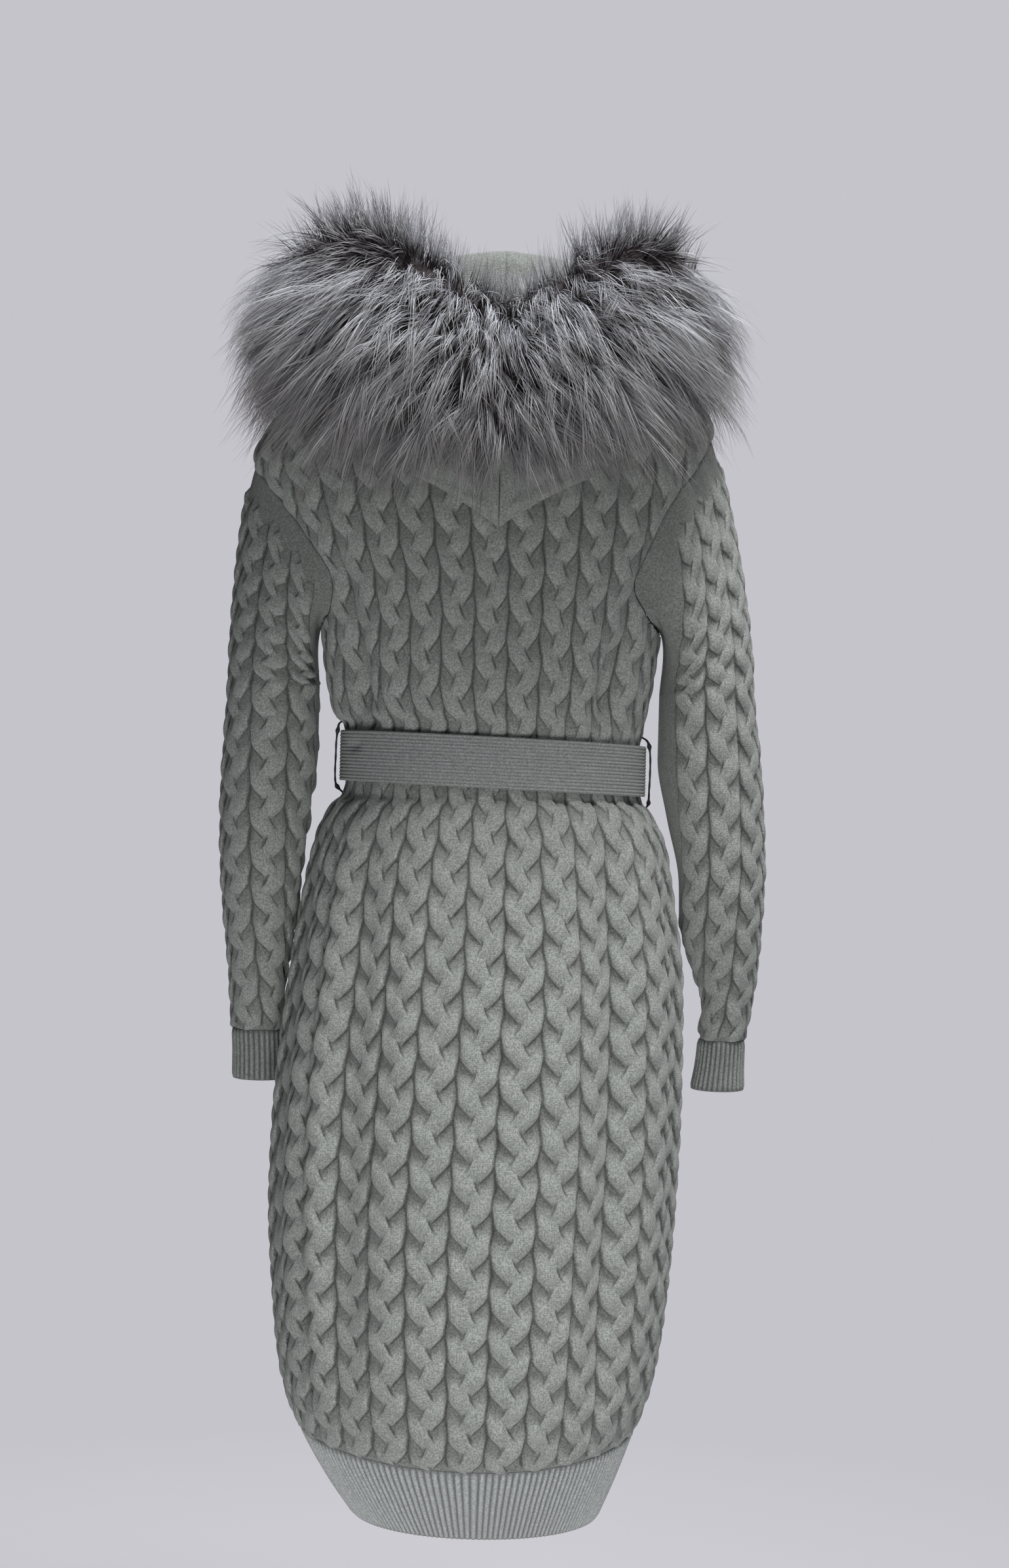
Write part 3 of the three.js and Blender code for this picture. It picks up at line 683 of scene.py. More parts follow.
def knit_panel(
    name, face, rows, along, down, angles, columns, low, high, material,
    span=None, lift=None, column_width=None, closed=False, plain=None,
):
    """A panel of cable columns, or a closed tube of them. angles run across it, and low and high are
    its edges on each row. Columns share the width between the two angles of span on each row, or with
    column_width they keep that width on both sides of the middle angle."""
    lengths = path_lengths(face(angles[None, :], rows[:, None]))
    if column_width is None:
        low_at, high_at = (
            np.array([np.interp(edge[j], angles, lengths[j]) for j in range(len(rows))])[:, None]
            for edge in span
        )
        width = (high_at - low_at) / columns
        share = (lengths - low_at) / width
    else:
        width = column_width[:, None]
        middle = lengths[:, len(angles) // 2][:, None]
        share = (lengths - middle) / width + columns / 2

    def place(count, pick):
        """Where count points lie across the picked rows, and the first and last of them that count."""
        across = np.linspace(0, columns, count)
        edge_low = np.array([np.interp(low[j], angles, share[j]) for j in pick])
        edge_high = np.array([np.interp(high[j], angles, share[j]) for j in pick])
        tiny = 1e-6
        first = np.maximum(np.searchsorted(across, edge_low + tiny) - 1, 0)
        last = np.minimum(np.searchsorted(across, edge_high - tiny), count - 1)
        at = np.clip(across[None, :], edge_low[:, None], edge_high[:, None])
        angle = np.array([np.interp(at[k], share[j], angles) for k, j in enumerate(pick)])
        return at, angle, first, last, edge_low[:, None], edge_high[:, None]

    def placed(angle, row):
        point = face(angle, row)
        normal = normals(face, angle, row, *NORMAL_STEPS)
        if lift is not None:
            point = point + normal * lift(angle, row)[..., None]
        return point, normal

    count = columns * COLUMN_SAMPLES + 1
    at, angle, first, last, edge_low, edge_high = place(count, np.arange(len(rows)))
    point, normal = placed(angle, rows[:, None])
    height = soft_cable(at, down[:, None], 1 / COLUMN_SAMPLES, abs(down[1] - down[0]))
    scale = np.clip(width / FULL_WIDTH, 0.6, 1.1)
    from_edge = np.minimum(at - edge_low, edge_high - at) * width
    fade = smooth((from_edge + 1.5) / 7)
    # The cables sink into plain knit at every edge, and in scallops over the hem.
    scallop = 6 + 5 * np.cos(TURN * at) + 2 * np.sin(7.3 * at)
    fade = fade * smooth((along[:, None] + 3 - scallop / 2) / 6)
    fade = fade * smooth((along[-1] - along[:, None] + 1) / 8)
    if plain is not None:
        steps_up = np.linalg.norm(np.diff(point, axis=0), axis=-1)[::-1].cumsum(0)[::-1]
        from_top = np.concatenate([steps_up, np.zeros((1, at.shape[1]))])
        fade = fade * plain(at, width, from_edge, from_top)
    z = point[..., 2]
    height = lerp(PLAIN_LEVEL, height * scale, fade)
    if not closed:
        height = lerp(height, height * 0.5 - 1.2, under_belt(z))
        across_dent = point[..., 0] - DENT["x"]
        up_dent = z - BELT_Z - BELT_SLOPE * DENT["x"] - DENT["up"]
        pinch = np.exp(-((across_dent / 10) ** 2) - (up_dent / 9) ** 2) * (point[..., 1] > 0)
        height = height - DENT["press"] * pinch
    outer = Grid(point + normal * height[..., None], first, last, closed)
    pick = every(INNER_EVERY, len(rows))
    in_at, in_angle, in_first, in_last, _, _ = place(columns * INNER_COLUMN_SAMPLES + 1, pick)
    in_point, in_normal = placed(in_angle, rows[pick][:, None])
    inner = Grid(in_point - in_normal * CABLE_WALL, in_first, in_last, closed)
    points, faces = shell(outer, inner, at, in_at, along, along[pick])
    knit = vector(at * width, along[:, None], height)
    in_knit = vector(in_at * width[pick], along[pick][:, None], -1.0)
    plait = vector(at, down[:, None], fade * scale)
    in_plait = vector(in_at, down[pick][:, None], 0.0)
    values = {"knit": stacked(knit, in_knit), "plait": stacked(plait, in_plait)}
    return make(name, points, faces, material, values)


def build_panels(material):
    for name, start, end, columns, low, high, span, lift in (
        (
            "panel_back", 0, 180, 15,
            lambda row: armhole("leftBack", row) + SEAM_ANGLE,
            lambda row: 180 - armhole("rightBack", row) - SEAM_ANGLE,
            lambda row: (0 * row, 180 + 0 * row),
            None,
        ),
        (
            "panel_front_left", 270, 360, 7,
            lambda row: front_angle(BAND_HALF + GAP / 2, row),
            lambda row: 360 - armhole("front", row) - SEAM_ANGLE,
            lambda row: (front_angle(BAND_HALF + GAP / 2, row), 360 + 0 * row),
            None,
        ),
        (
            "panel_front_right", 180, 270, 7,
            lambda row: 180 + armhole("front", row) + SEAM_ANGLE,
            lambda row: front_angle(-BAND_HALF - GAP / 2, row),
            lambda row: (180 + 0 * row, front_angle(-BAND_HALF - GAP / 2, row)),
            right_front_raise,
        ),
    ):
        middle = 90 if name == "panel_back" else 270
        rows, along = even_rows(lambda row: body_face(middle, row), ROW_RIB_TOP, ROW_NECK, ROW_SPACING)
        down = repeats_along(body_face(middle, rows), REPEAT)
        angles = np.linspace(start, end, round((end - start) / PANEL_STEP) + 1)
        piece = knit_panel(
            f"knit_{name}", body_face, rows, along, down, angles, columns,
            low(rows), high(rows), material, span(rows), lift,
        )
        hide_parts(name)


SLEEVE_COLUMNS = 7
SLEEVE_SPAN = 15  # columns' room round a sleeve, plain knit and all
WEDGE = 24  # plain knit of a sleeve's cap, along the seam
SLEEVE_WIDTH = {
    1: table("z width", [[-680, 32], [-600, 34], [-500, 37], [-300, 38], [0, 38]]),
    -1: table("z width", [[-680, 30], [-600, 31], [-500, 32], [-300, 33], [0, 33]]),
}
SLEEVE_REPEAT = {
    1: table("z length", [[-680, 36], [-400, 37], [0, 38]]),
    -1: table("z length", [[-680, 35], [-560, 36], [-440, 40], [0, 42]]),
}


def build_sleeves(material):
    for side, name in ((1, "left"), (-1, "right")):
        def face(angle, row, side=side):
            return sleeve_face(side, angle if side > 0 else 360 - angle, row)

        rows, along = even_rows(lambda row: face(150, row), SLEEVE_CUFF - RIB_STEP, 1e-4, ROW_SPACING)
        line = face(180, rows)
        down = repeats_along(line, SLEEVE_REPEAT[side])
        width = np.interp(line[:, 2], SLEEVE_WIDTH[side]["z"], SLEEVE_WIDTH[side]["width"])

        def plain(at, width, from_edge, from_top):
            """How much of the cable there is: none beside the sleeve's seam and along the armhole."""
            from_middle = np.abs(at - SLEEVE_SPAN / 2)
            fade = smooth((SLEEVE_COLUMNS / 2 + 0.04 - from_middle) * width / 3)
            wedge = WEDGE * (1 + 0.25 * np.sin(at * TURN))
            return fade * smooth((from_edge - 5) / 6) * smooth((from_top - wedge) / 9)

        angles = np.linspace(0, 360, round(360 / SLEEVE_STEP) + 1)
        piece = knit_panel(
            f"knit_sleeve_{name}", face, rows, along, down, angles, SLEEVE_SPAN,
            np.zeros(len(rows)), np.full(len(rows), 360), material,
            column_width=width, closed=True, plain=plain,
        )
        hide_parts(f"sleeve_{name}")


# ---------------------------------------------------------------- ribs

RIB_WIDTH = 5.3
RIB_SAMPLES = 6
RIB_TOP = 0.9
RIB_EDGE = -0.6  # the level at a ribbed wall's edges
BAND_PRESS = 1.5  # how far the belt presses the front bands in
BAND_RIBS = 8
CUFF_RIBS = 30
CUFF_ROUND = 165
CUFF_ROWS = 12
HEM_WIDTHS = (430, 190, 190)
HEM_ROWS = 19
BAND_ROW = 6  # the length of cloth to a row of a front band


def rib(at):
    """Height of a rib, once for each whole number."""
    return RIB_TOP - 2.1 * (0.5 + 0.5 * np.cos(TURN * at)) ** 1.4


def covered_rib(at):
    """A rib that stays under the piece that lies on it."""
    return rib(at) - RIB_TOP


def ribbed_wall(
    name, face, across, rows, thickness, ribs, material, closed=False, height=rib, pressed=0,
):
    """A wall with ribs up its rows. face(u, row) takes u from 0 to 1 across it, and pressed is how far
    the belt presses it in."""
    count = ribs * RIB_SAMPLES
    u = np.linspace(0, 1, count + 1)[None, :]
    row = rows[:, None]
    step = (0.3 / max(across, 1), 1e-3)
    point = face(u, row)
    normal = normals(face, u, row, *step)
    along = path_lengths(point[:, count // 2])
    lift = height(u * ribs) + 0 * row
    fade = smooth((along[:, None] + 1.5) / 4) * smooth((along[-1] - along[:, None] + 1.5) / 4)
    lift = lerp(RIB_EDGE, lift, fade) - pressed * under_belt(point[..., 2])
    if not closed:
        edge = np.minimum(u, 1 - u) * across
        lift = lerp(RIB_EDGE, lift, smooth((edge + 1) / 3))
    outer = Grid(point + normal * lift[..., None], closed=closed)
    in_u = np.linspace(0, 1, max(3, int(round(across / 9))) + 1)[None, :]
    pick = every(3, len(rows))
    in_row = rows[pick][:, None]
    in_point = face(in_u, in_row) - normals(face, in_u, in_row, *step) * thickness
    inner = Grid(in_point, closed=closed)
    wide = np.repeat(u, len(rows), 0)
    in_wide = np.repeat(in_u, len(pick), 0)
    points, faces = shell(outer, inner, wide, in_wide, along, along[pick])
    knit = vector(u * across, along[:, None], lift)
    in_knit = vector(in_u * across, along[pick][:, None], -1.0)
    return make(name, points, faces, material, {"knit": stacked(knit, in_knit)})


def body_strip(low, high, lift=None):
    """The body's face between two angles, each a function of the row, with u from 0 to 1 between."""

    def face(u, row):
        u, row = pair(u, row)
        angle = lerp(low(row), high(row), u)
        point = body_face(angle, row)
        if lift is not None:
            point = point + body_normal(angle, row) * np.asarray(lift(angle, row))[..., None]
        return point

    return face


def build_hem(material):
    rows = np.linspace(ROW_HEM, ROW_RIB_TOP - RIB_STEP, HEM_ROWS)
    left_edge, right_edge = BAND_HALF + GAP / 2, -BAND_HALF - GAP / 2
    parts = (
        ("back", lambda row: 0 * row + SEAM_ANGLE, lambda row: 180 - SEAM_ANGLE + 0 * row, None),
        (
            "front_left", lambda row: front_angle(left_edge, row),
            lambda row: 360 - SEAM_ANGLE + 0 * row, None,
        ),
        (
            "front_right", lambda row: 180 + SEAM_ANGLE + 0 * row,
            lambda row: front_angle(right_edge, row), right_front_raise,
        ),
    )
    for (name, low, high, lift), across in zip(parts, HEM_WIDTHS):
        face = body_strip(low, high, lift)
        ribs = round(across / RIB_WIDTH)
        name = f"hem_rib_{name}"
        piece = ribbed_wall(f"knit_{name}", face, across, rows, RIB_WALL, ribs, material)
        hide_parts(name)


def build_bands(material):
    for name, raised in (("front_band_left", 0), ("front_band_right", BAND_RAISE)):
        face = body_strip(
            lambda row: front_angle(-BAND_HALF + GAP / 2, row),
            lambda row: front_angle(BAND_HALF - GAP / 2, row),
            (lambda angle, row: raised + 0 * angle) if raised else None,
        )
        rows, _ = even_rows(lambda row: face(0.5, row), ROW_HEM, ROW_NECK, BAND_ROW)
        piece = ribbed_wall(
            f"knit_{name}", face, 2 * BAND_HALF, rows, RIB_WALL, BAND_RIBS, material,
            height=rib if raised else covered_rib, pressed=BAND_PRESS,
        )
        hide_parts(name)


def build_cuffs(material):
    for side, name in ((1, "left"), (-1, "right")):
        def face(u, row, side=side):
            return sleeve_ring(side, 360 * side * u, row - 1)

        rows = np.linspace(SLEEVE_CUFF, SLEEVE_END, CUFF_ROWS)
        piece = ribbed_wall(
            f"knit_cuff_{name}", face, CUFF_ROUND, rows, RIB_WALL, CUFF_RIBS, material,
            closed=True,
        )
        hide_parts(f"cuff_{name}")


# ---------------------------------------------------------------- belt

BELT_HEIGHT = 47
BELT_Z = -413
BELT_SLOPE = 0.03  # rise to each millimetre towards the wearer's left
BELT_REACH = 140  # from the middle of the waist to the belt, about
BELT_STANDS_OFF = 0.8
BELT_WAVE = 0.9
BELT_SECTION = {"left": 144, "right": 143, "back": 118.8, "front": 120.6, "square": 2.2}
KNOT = {"halfWidth": 18, "halfHeight": 27, "halfDepth": 10, "square": 3, "y": -130}
KNOT_RINGS, KNOT_AROUND = 44, 72
KNOT_FOLDS = ((0.5, 6, 2.0), (0.35, -5, 1.8), (0.62, -14, 1.6))  # slant, shift and width of each
BELT_END = 10  # from the middle of the front to where the knot takes the belt in
# Name, side, length, distance from the middle at the knot, and how much further out the end hangs.
TAILS = (("belt_tail_left", 1, 410, 2, 34), ("belt_tail_right", -1, 375, 2, 30))
TAIL_TOP = BELT_Z - KNOT["halfHeight"] + 1.1
TAIL_CLEARANCE = 3
BELT_RIBS = 15
BELT_ROWS, TAIL_ROWS = 161, 61
DENT = {"x": 128, "up": 9, "depth": 3.4, "press": 3.0}  # where the loop pinches the belt
TAIL_CURL = 2.2


def belt_rib(at):
    return 0.35 - 0.75 * (0.5 + 0.5 * np.cos(TURN * at)) ** 1.6


def belt_point(angle, up):
    c, s = cosd(angle), sind(angle)
    power = 2 / BELT_SECTION["square"]
    x = np.where(c > 0, BELT_SECTION["left"], BELT_SECTION["right"]) * signed_power(c, power)
    y = np.where(s > 0, BELT_SECTION["back"], BELT_SECTION["front"]) * signed_power(s, power)
    return vector(x, y, BELT_Z + BELT_SLOPE * x + up)


def smooth_through(values, at):
    """Values along a curve through the table's points, with no corners at them."""
    low = np.clip(np.floor(at).astype(int), 0, len(values) - 2)
    before, after = np.maximum(low - 1, 0), np.minimum(low + 2, len(values) - 1)
    leave, arrive = (values[low + 1] - values[before]) / 2, (values[after] - values[low]) / 2
    return hermite(values[low], values[low + 1], leave, arrive, at - low)


def row_at_height(z):
    """The row of the body whose front is at a height, below the underarm."""
    heights = BODY["zFront"]
    return np.interp(z, heights, np.arange(len(heights)))


def build_belt(material):
    start, end = (
        math.degrees(math.asin((BELT_END / BELT_SECTION[reach]) ** (BELT_SECTION["square"] / 2)))
        for reach in ("left", "right")
    )

    def face(u, row):
        """u runs up the belt, and row along it from its left end round the back."""
        u, row = pair(u, row)
        angle = lerp(270 + start, 630 - end, row)
        up = (0.5 - u) * BELT_HEIGHT
        point = belt_point(angle, up)
        across_dent, up_dent = (point[..., 0] - DENT["x"]) / 6, (up - DENT["up"]) / 5
        dent = np.exp(-(across_dent**2) - up_dent**2) * (point[..., 1] > 0)
        wave = BELT_WAVE * (1 + np.sin(angle * 0.11)) * sind(angle) ** 2 + BELT_STANDS_OFF
        scale = 1 - dent * DENT["depth"] / BELT_REACH + wave / BELT_REACH
        return point * scale[..., None] * [1, 1, 0] + point * [0, 0, 1]

    def strip(name, face, rows):
        piece = ribbed_wall(
            f"knit_{name}", face, BELT_HEIGHT, np.linspace(0, 1, rows), BELT_WALL, BELT_RIBS, material,
            height=belt_rib,
        )
        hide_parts(name)

    strip("belt", face, BELT_ROWS)
    for name, side, length, offset, splay in TAILS:
        def tail(u, row, side=side, length=length, offset=offset, splay=splay):
            u, row = pair(u, row)
            z = TAIL_TOP - (1 - row) * length
            down = 1 - row
            sway = 5 * np.sin(5.2 * down + side) * down
            narrow = 1 - 0.14 * bell(down / 0.08)
            wide = BELT_HEIGHT * narrow
            x = side * (offset + splay * down) + side * (wide * np.where(side > 0, u, 1 - u) + sway)
            bowed = TAIL_CURL * ((2 * u - 1) ** 2 - 0.3) * np.sin(4.1 * down + 0.8 * side)
            fold = 2.6 * bell((u - 0.5 - 0.25 * np.sin(3 * down)) / 0.12) * bell(down / 0.3)
            swing = 2.5 * np.sin(6 * down) * down
            lift = CABLE_WALL + BAND_RAISE + TAIL_CLEARANCE + bowed + fold + swing
            return vector(x, -between(BODY, "front", row_at_height(z)) - lift, z)

        strip(name, tail, TAIL_ROWS)
    build_knot(material)


def build_knot(material):
    """The turn of the knot: a band wrapped over itself, wider at its middle, with its folds gathered in."""
    tilt = (np.linspace(0.02, 0.98, KNOT_RINGS) - 0.5)[:, None] * np.pi
    turn = np.linspace(0, TURN, KNOT_AROUND + 1)[None, :]
    power = 2 / KNOT["square"]
    wide = np.cos(tilt) ** (power * 0.8)
    x = KNOT["halfWidth"] * wide * signed_power(np.cos(turn), power)
    y = KNOT["halfDepth"] * wide * signed_power(np.sin(turn), power)
    z = KNOT["halfHeight"] * signed_power(np.sin(tilt), power) + 0 * turn
    points = vector(x, y, z)
    lean = (x * 0.94 + z * 0.34) / 3.2
    ribs = 0.5 + 0.5 * np.cos(TURN * lean)
    folds = sum(
        bell((x * 0.86 - z * slant + shift) / size)
        for slant, shift, size in KNOT_FOLDS
    )
    waist = 0.1 * bell((z + 2) / 9)
    points = points * (1 - 0.035 * ribs - 0.13 * np.minimum(folds, 1) - waist)[..., None]
    points = points + np.array([0, KNOT["y"], BELT_Z])
    tips = [[0, KNOT["y"], BELT_Z + end * KNOT["halfHeight"]] for end in (-1, 1)]
    points, faces = capped(Grid(points, closed=True), tips)
    # The levels at which the belt knit's painted shade darkens the knot's ribs and folds.
    height = np.concatenate([(0.4 - 1.2 * ribs - 1.4 * folds).ravel(), [0, 0]])
    knit = vector(points[:, 0], points[:, 2], height)
    piece = make("knit_belt_knot", points, faces, material, {"knit": knit})
    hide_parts("belt_knot")


LOOP_RADIUS = 0.95
LOOP_ALONG, LOOP_ROUND = 49, 11
# Each thread's course: how far out from the waist, how far back, and how high.
LOOPS = {
    "left": table(
        "out y z",
        [
            [-1, 9, -376], [6.5, 10, -381], [8.8, 9, -394], [9.2, 8, -410],
            [9.5, 7, -426], [8, 6, -437], [0, 7, -445],
        ],
    ),
    "right": table(
        "out y z",
        [
            [-1, 8, -384], [6.5, 8, -389], [9, 9, -401], [9.4, 8, -418],
            [9, 7, -434], [7.8, 7, -446], [-1, 8, -453],
        ],
    ),
}


def build_loops(material):
    """The slack threads that keep the belt at the side seams, each with a knot at its upper end."""
    for side, (name, at) in zip((1, -1), LOOPS.items()):
        step = np.linspace(0, len(at["z"]) - 1, LOOP_ALONG)
        out, y, z = (smooth_through(at[key], step) for key in ("out", "y", "z"))
        waist = np.array([abs(body_face(0.0 if side > 0 else 180.0, row_at_height(h))[0]) for h in z])
        path = vector(side * (waist + out), y, z)
        ahead = unit(np.gradient(path, axis=0))
        across = unit(np.cross(ahead, [0, 1.0, 0]))
        other = np.cross(ahead, across)
        turn = np.linspace(0, TURN, LOOP_ROUND)
        bead = 1 + 1.5 * bell((z - z[0] + 9) / 2.4) + 1.2 * bell((z - z[-1] - 7) / 2.2)
        ply = 1 + 0.12 * np.sin(2 * turn[None, :] + np.arange(len(z))[:, None] * 1.1)
        size = (LOOP_RADIUS * bead)[:, None] * ply
        ring = (np.cos(turn) * size)[..., None] * across[:, None]
        ring = ring + (np.sin(turn) * size)[..., None] * other[:, None]
        points, faces = capped(Grid(path[:, None] + ring, closed=True), path[[0, -1]])
        piece = make(f"thread_loop_{name}", points, faces, material, turn=False)
        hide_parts(f"belt_loop_{name}")


# ---------------------------------------------------------------- hood

HOOD_ACROSS, HOOD_DOWN = 71, 91
HOOD_SEAM_BEARING = 0.12  # degrees from the middle to the seam's edge on each side
HOOD_TURN = 0.745  # where the hood turns back on itself, as a share of its depth
# Middle, rise and width of each fold as shares of the hood's depth, then its depth and reach.
HOOD_FOLDS = {
    1: ((0.79, -0.03, 0.012, 4.0, 90), (0.845, -0.05, 0.016, 4.5, 110), (0.9, -0.04, 0.014, 3.0, 120)),
    -1: ((0.80, -0.06, 0.013, 5.0, 70), (0.85, -0.03, 0.016, 4.5, 100), (0.79, 0.04, 0.02, -3.5, 60)),
}


def hood_relief(side, from_seam, row):
    """The seam at the back, and the folds that run from the tip up to both sides."""
    lift = 1.3 * bell((from_seam - 3.5) / 2.0) - 1.8 * bell(from_seam / 1.4)
    for middle, rise, wide, depth, reach in HOOD_FOLDS[side]:
        at = row - middle - rise * from_seam / 100
        near = smooth((from_seam - 4) / 18) * bell(from_seam / reach)
        lift = lift - depth * near * bell(at / wide)
    return lift * smooth((row - HOOD_TURN) / 0.02) * smooth((0.98 - row) / 0.03)


HOOD_CLEARANCE = 2.8  # from the back to the layer that lies on it
LAYERS = 6.5  # further out to the outer layer
BELOW_SHOULDERS = -60
RAY_REACH = 80


def solid_tree(names):
    """The surfaces of named meshes, in millimetres, for rays."""
    corners, triangles = [], []
    for name in names:
        piece = bpy.data.objects[name]
        first = len(corners)
        corners += [piece.matrix_world @ v.co / MM for v in piece.data.vertices]
        piece.data.calc_loop_triangles()
        triangles += [tuple(first + k for k in t.vertices) for t in piece.data.loop_triangles]
    return BVHTree.FromPolygons(corners, triangles)


def clear_of_back(back, points, row):
    """The hood's points, moved straight out where the shoulder blades would reach through them."""
    out = points.copy()
    clearance = HOOD_CLEARANCE + LAYERS * smooth((row - HOOD_TURN + 0.045) / 0.1)
    for at in np.ndindex(points.shape[:2]):
        x, y, z = points[at]
        if y < 0 or z > BELOW_SHOULDERS:
            continue
        reach = math.hypot(x, y)
        way = Vector((-x / reach, -y / reach, 0))
        hit = back.ray_cast(Vector((x, y, z)) - way * RAY_REACH, way, 2 * RAY_REACH)[0]
        if hit is None:
            continue
        least = math.hypot(hit.x, hit.y) + clearance[at[0], 0] * min((BELOW_SHOULDERS - z) / 20, 1)
        if reach < least:
            out[at][:2] *= least / reach
    return out


def build_hood(material):
    back = solid_tree(["panel_back"])
    u = np.linspace(0, 1, HOOD_ACROSS)[None, :]
    row = np.linspace(0, 1, HOOD_DOWN)[:, None]
    every_u, every_row = every(INNER_EVERY, HOOD_ACROSS), every(INNER_EVERY, HOOD_DOWN)
    wide = np.repeat(u, HOOD_DOWN, 0)
    in_wide = np.repeat(u[:, every_u], len(every_row), 0)
    for side, name in ((1, "left"), (-1, "right")):
        def face(u, row, side=side):
            from_back = np.abs(1 - np.asarray(u, float)) ** 1.5
            bearing = lerp(90 - HOOD_SEAM_BEARING, HOOD_FRONT_BEARING, np.clip(from_back, 0, 1))
            return hood_face(side, bearing, row)

        point = face(u, row)
        normal = normals(face, np.clip(u, 0.004, 0.996), row, 0.004, 0.004) * side
        normal[:, -1, 0] = 0
        normal = unit(normal)
        lengths = path_lengths(point)
        from_seam = lengths[:, -1:] - lengths
        point = point + normal * hood_relief(side, from_seam, row)[..., None]
        point = clear_of_back(back, point, row)
        inner = (point - normal * HOOD_WALL)[every_row][:, every_u]
        at = row[:, 0]
        points, faces = shell(Grid(point), Grid(inner), wide, in_wide, at, at[every_row])
        tall = path_lengths(point.transpose(1, 0, 2)).T
        knit = vector(lengths, tall, 0)
        values = {"knit": stacked(knit, knit[every_row][:, every_u])}
        piece = make(f"knit_hood_{name}", points, faces, material, values)
        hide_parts(f"hood_{name}")


# ---------------------------------------------------------------- fur

FUR_SEED = 7
LOCKS = 5150
LOCK_HAIRS = 11
LOCK_RADIUS = 6.5
HAIR_STEPS = 5
PELT_END = 0.985  # where the pelt ends in front, as a share of the way from its middle
PELT_ALONG, PELT_ROUND = 121, 41
PARTING = 78  # the section's angle where the hair parts
PARTING_BEND = 30  # how much lower it lies where the hood bends most
BEND_MIDDLE, BEND_HALF = 118, 38  # how far to each side that is, and over what width
LOCK_END = 0.99
LOCK_SECTION = (-130, 230)  # the part of the section that bears locks, in degrees
UP_LENGTH, DOWN_LENGTH = 49, 78
RIGHT_FUR = 0.88  # the right half lies closer in than the left one
HAIR_WIDTHS = (1.0, 1.0, 0.85, 0.55)  # at each step, before the tip
HAIR_PIECES = ("fur_hair_left", "fur_hair_back", "fur_hair_right")
BACK_HAIR = 0.36  # the share of the trim, each way from its middle, that is the back's piece
# Where hair that reaches far out is held in: the axis, where that starts, and how much further it goes.
HAIR_LIMITS = ((0, 214, 60), (0, -208, -60), (1, 196, 46), (1, -140, -50), (2, 112, 24))


def fur_point(t, phi):
    """A point of the pelt. t runs from -1 at the left front end to 1 at the right one, and phi goes
    round the section in degrees."""
    at = (1 - np.abs(t)) * (len(FUR["z"]) - 1)
    part = {name: between(FUR, name, at) for name in FUR}
    lean, turn, phi = np.radians(part["lean"]), np.radians(part["bearing"]), np.radians(phi)
    across = part["thick"] * np.cos(phi)
    up = part["tall"] * np.sin(phi)
    radius = part["radius"] + across * np.cos(lean) - up * np.sin(lean)
    height = part["z"] + across * np.sin(lean) + up * np.cos(lean)
    side = np.where(t < 0, 1, -1)
    x = side * radius * np.cos(turn)
    outer = smooth((np.cos(phi) + 0.35) / 1.35)
    x = x * np.where(x < 0, lerp(1, RIGHT_FUR, smooth(-x / 150) * outer), 1)
    return vector(x, radius * np.sin(turn), height)


def section_middle(t):
    return fur_point(t, 0 * t + 90) * 0.5 + fur_point(t, 0 * t + 270) * 0.5


STOPS_HAIR = (
    "knit_hood_left", "knit_hood_right",
    "knit_panel_back", "knit_panel_front_left", "knit_panel_front_right",
    "knit_front_band_left", "knit_front_band_right",
    "knit_sleeve_left", "knit_sleeve_right",
)


def free_shares(lines):
    """The share of each hair's length that lies clear of the cloth, past its first step."""
    cloth = solid_tree(STOPS_HAIR)
    last = lines.shape[1] - 1
    shares = np.ones(len(lines))
    for hair, line in enumerate(lines):
        for step in range(1, last):
            start = Vector(line[step])
            way = Vector(line[step + 1]) - start
            hit = cloth.ray_cast(start, way.normalized(), way.length + 1)
            if hit[0] is not None:
                shares[hair] = (step + 0.92 * min(hit[3] / max(way.length, 1e-6), 1)) / last
                break
    return shares


def resampled(lines, places):
    """Points at fractional steps of each line."""
    low = np.clip(np.floor(places).astype(int), 0, lines.shape[1] - 2)
    pick = np.arange(len(lines))[:, None]
    return lerp(lines[pick, low], lines[pick, low + 1], (places - low)[..., None])


def build_pelt(material):
    t = np.linspace(-PELT_END, PELT_END, PELT_ALONG)[:, None]
    phi = np.linspace(0, 360, PELT_ROUND)[None, :]
    grid = Grid(fur_point(*pair(t, phi)), closed=True)
    points, faces = capped(grid, section_middle(np.array([-PELT_END, PELT_END])))
    pelt = make("fur_pelt", points, faces, material, {"knit": points})
    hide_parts("fur_trim")


def lock_places(random):
    """Where the locks stand. They are spread evenly over the pelt, so the short way round its section
    counts for less."""
    t = random.uniform(-LOCK_END, LOCK_END, LOCKS * 2)
    phi = random.uniform(*LOCK_SECTION, LOCKS * 2)
    size = np.linalg.norm(fur_point(t, phi + 4) - fur_point(t, phi - 4), axis=-1)
    size = size * np.linalg.norm(fur_point(t + 0.005, phi) - fur_point(t - 0.005, phi), axis=-1)
    keep = np.argsort(random.uniform(size=len(t)) ** (1 / np.maximum(size, 1e-6)))[::-1][:LOCKS]
    return t[keep], phi[keep]


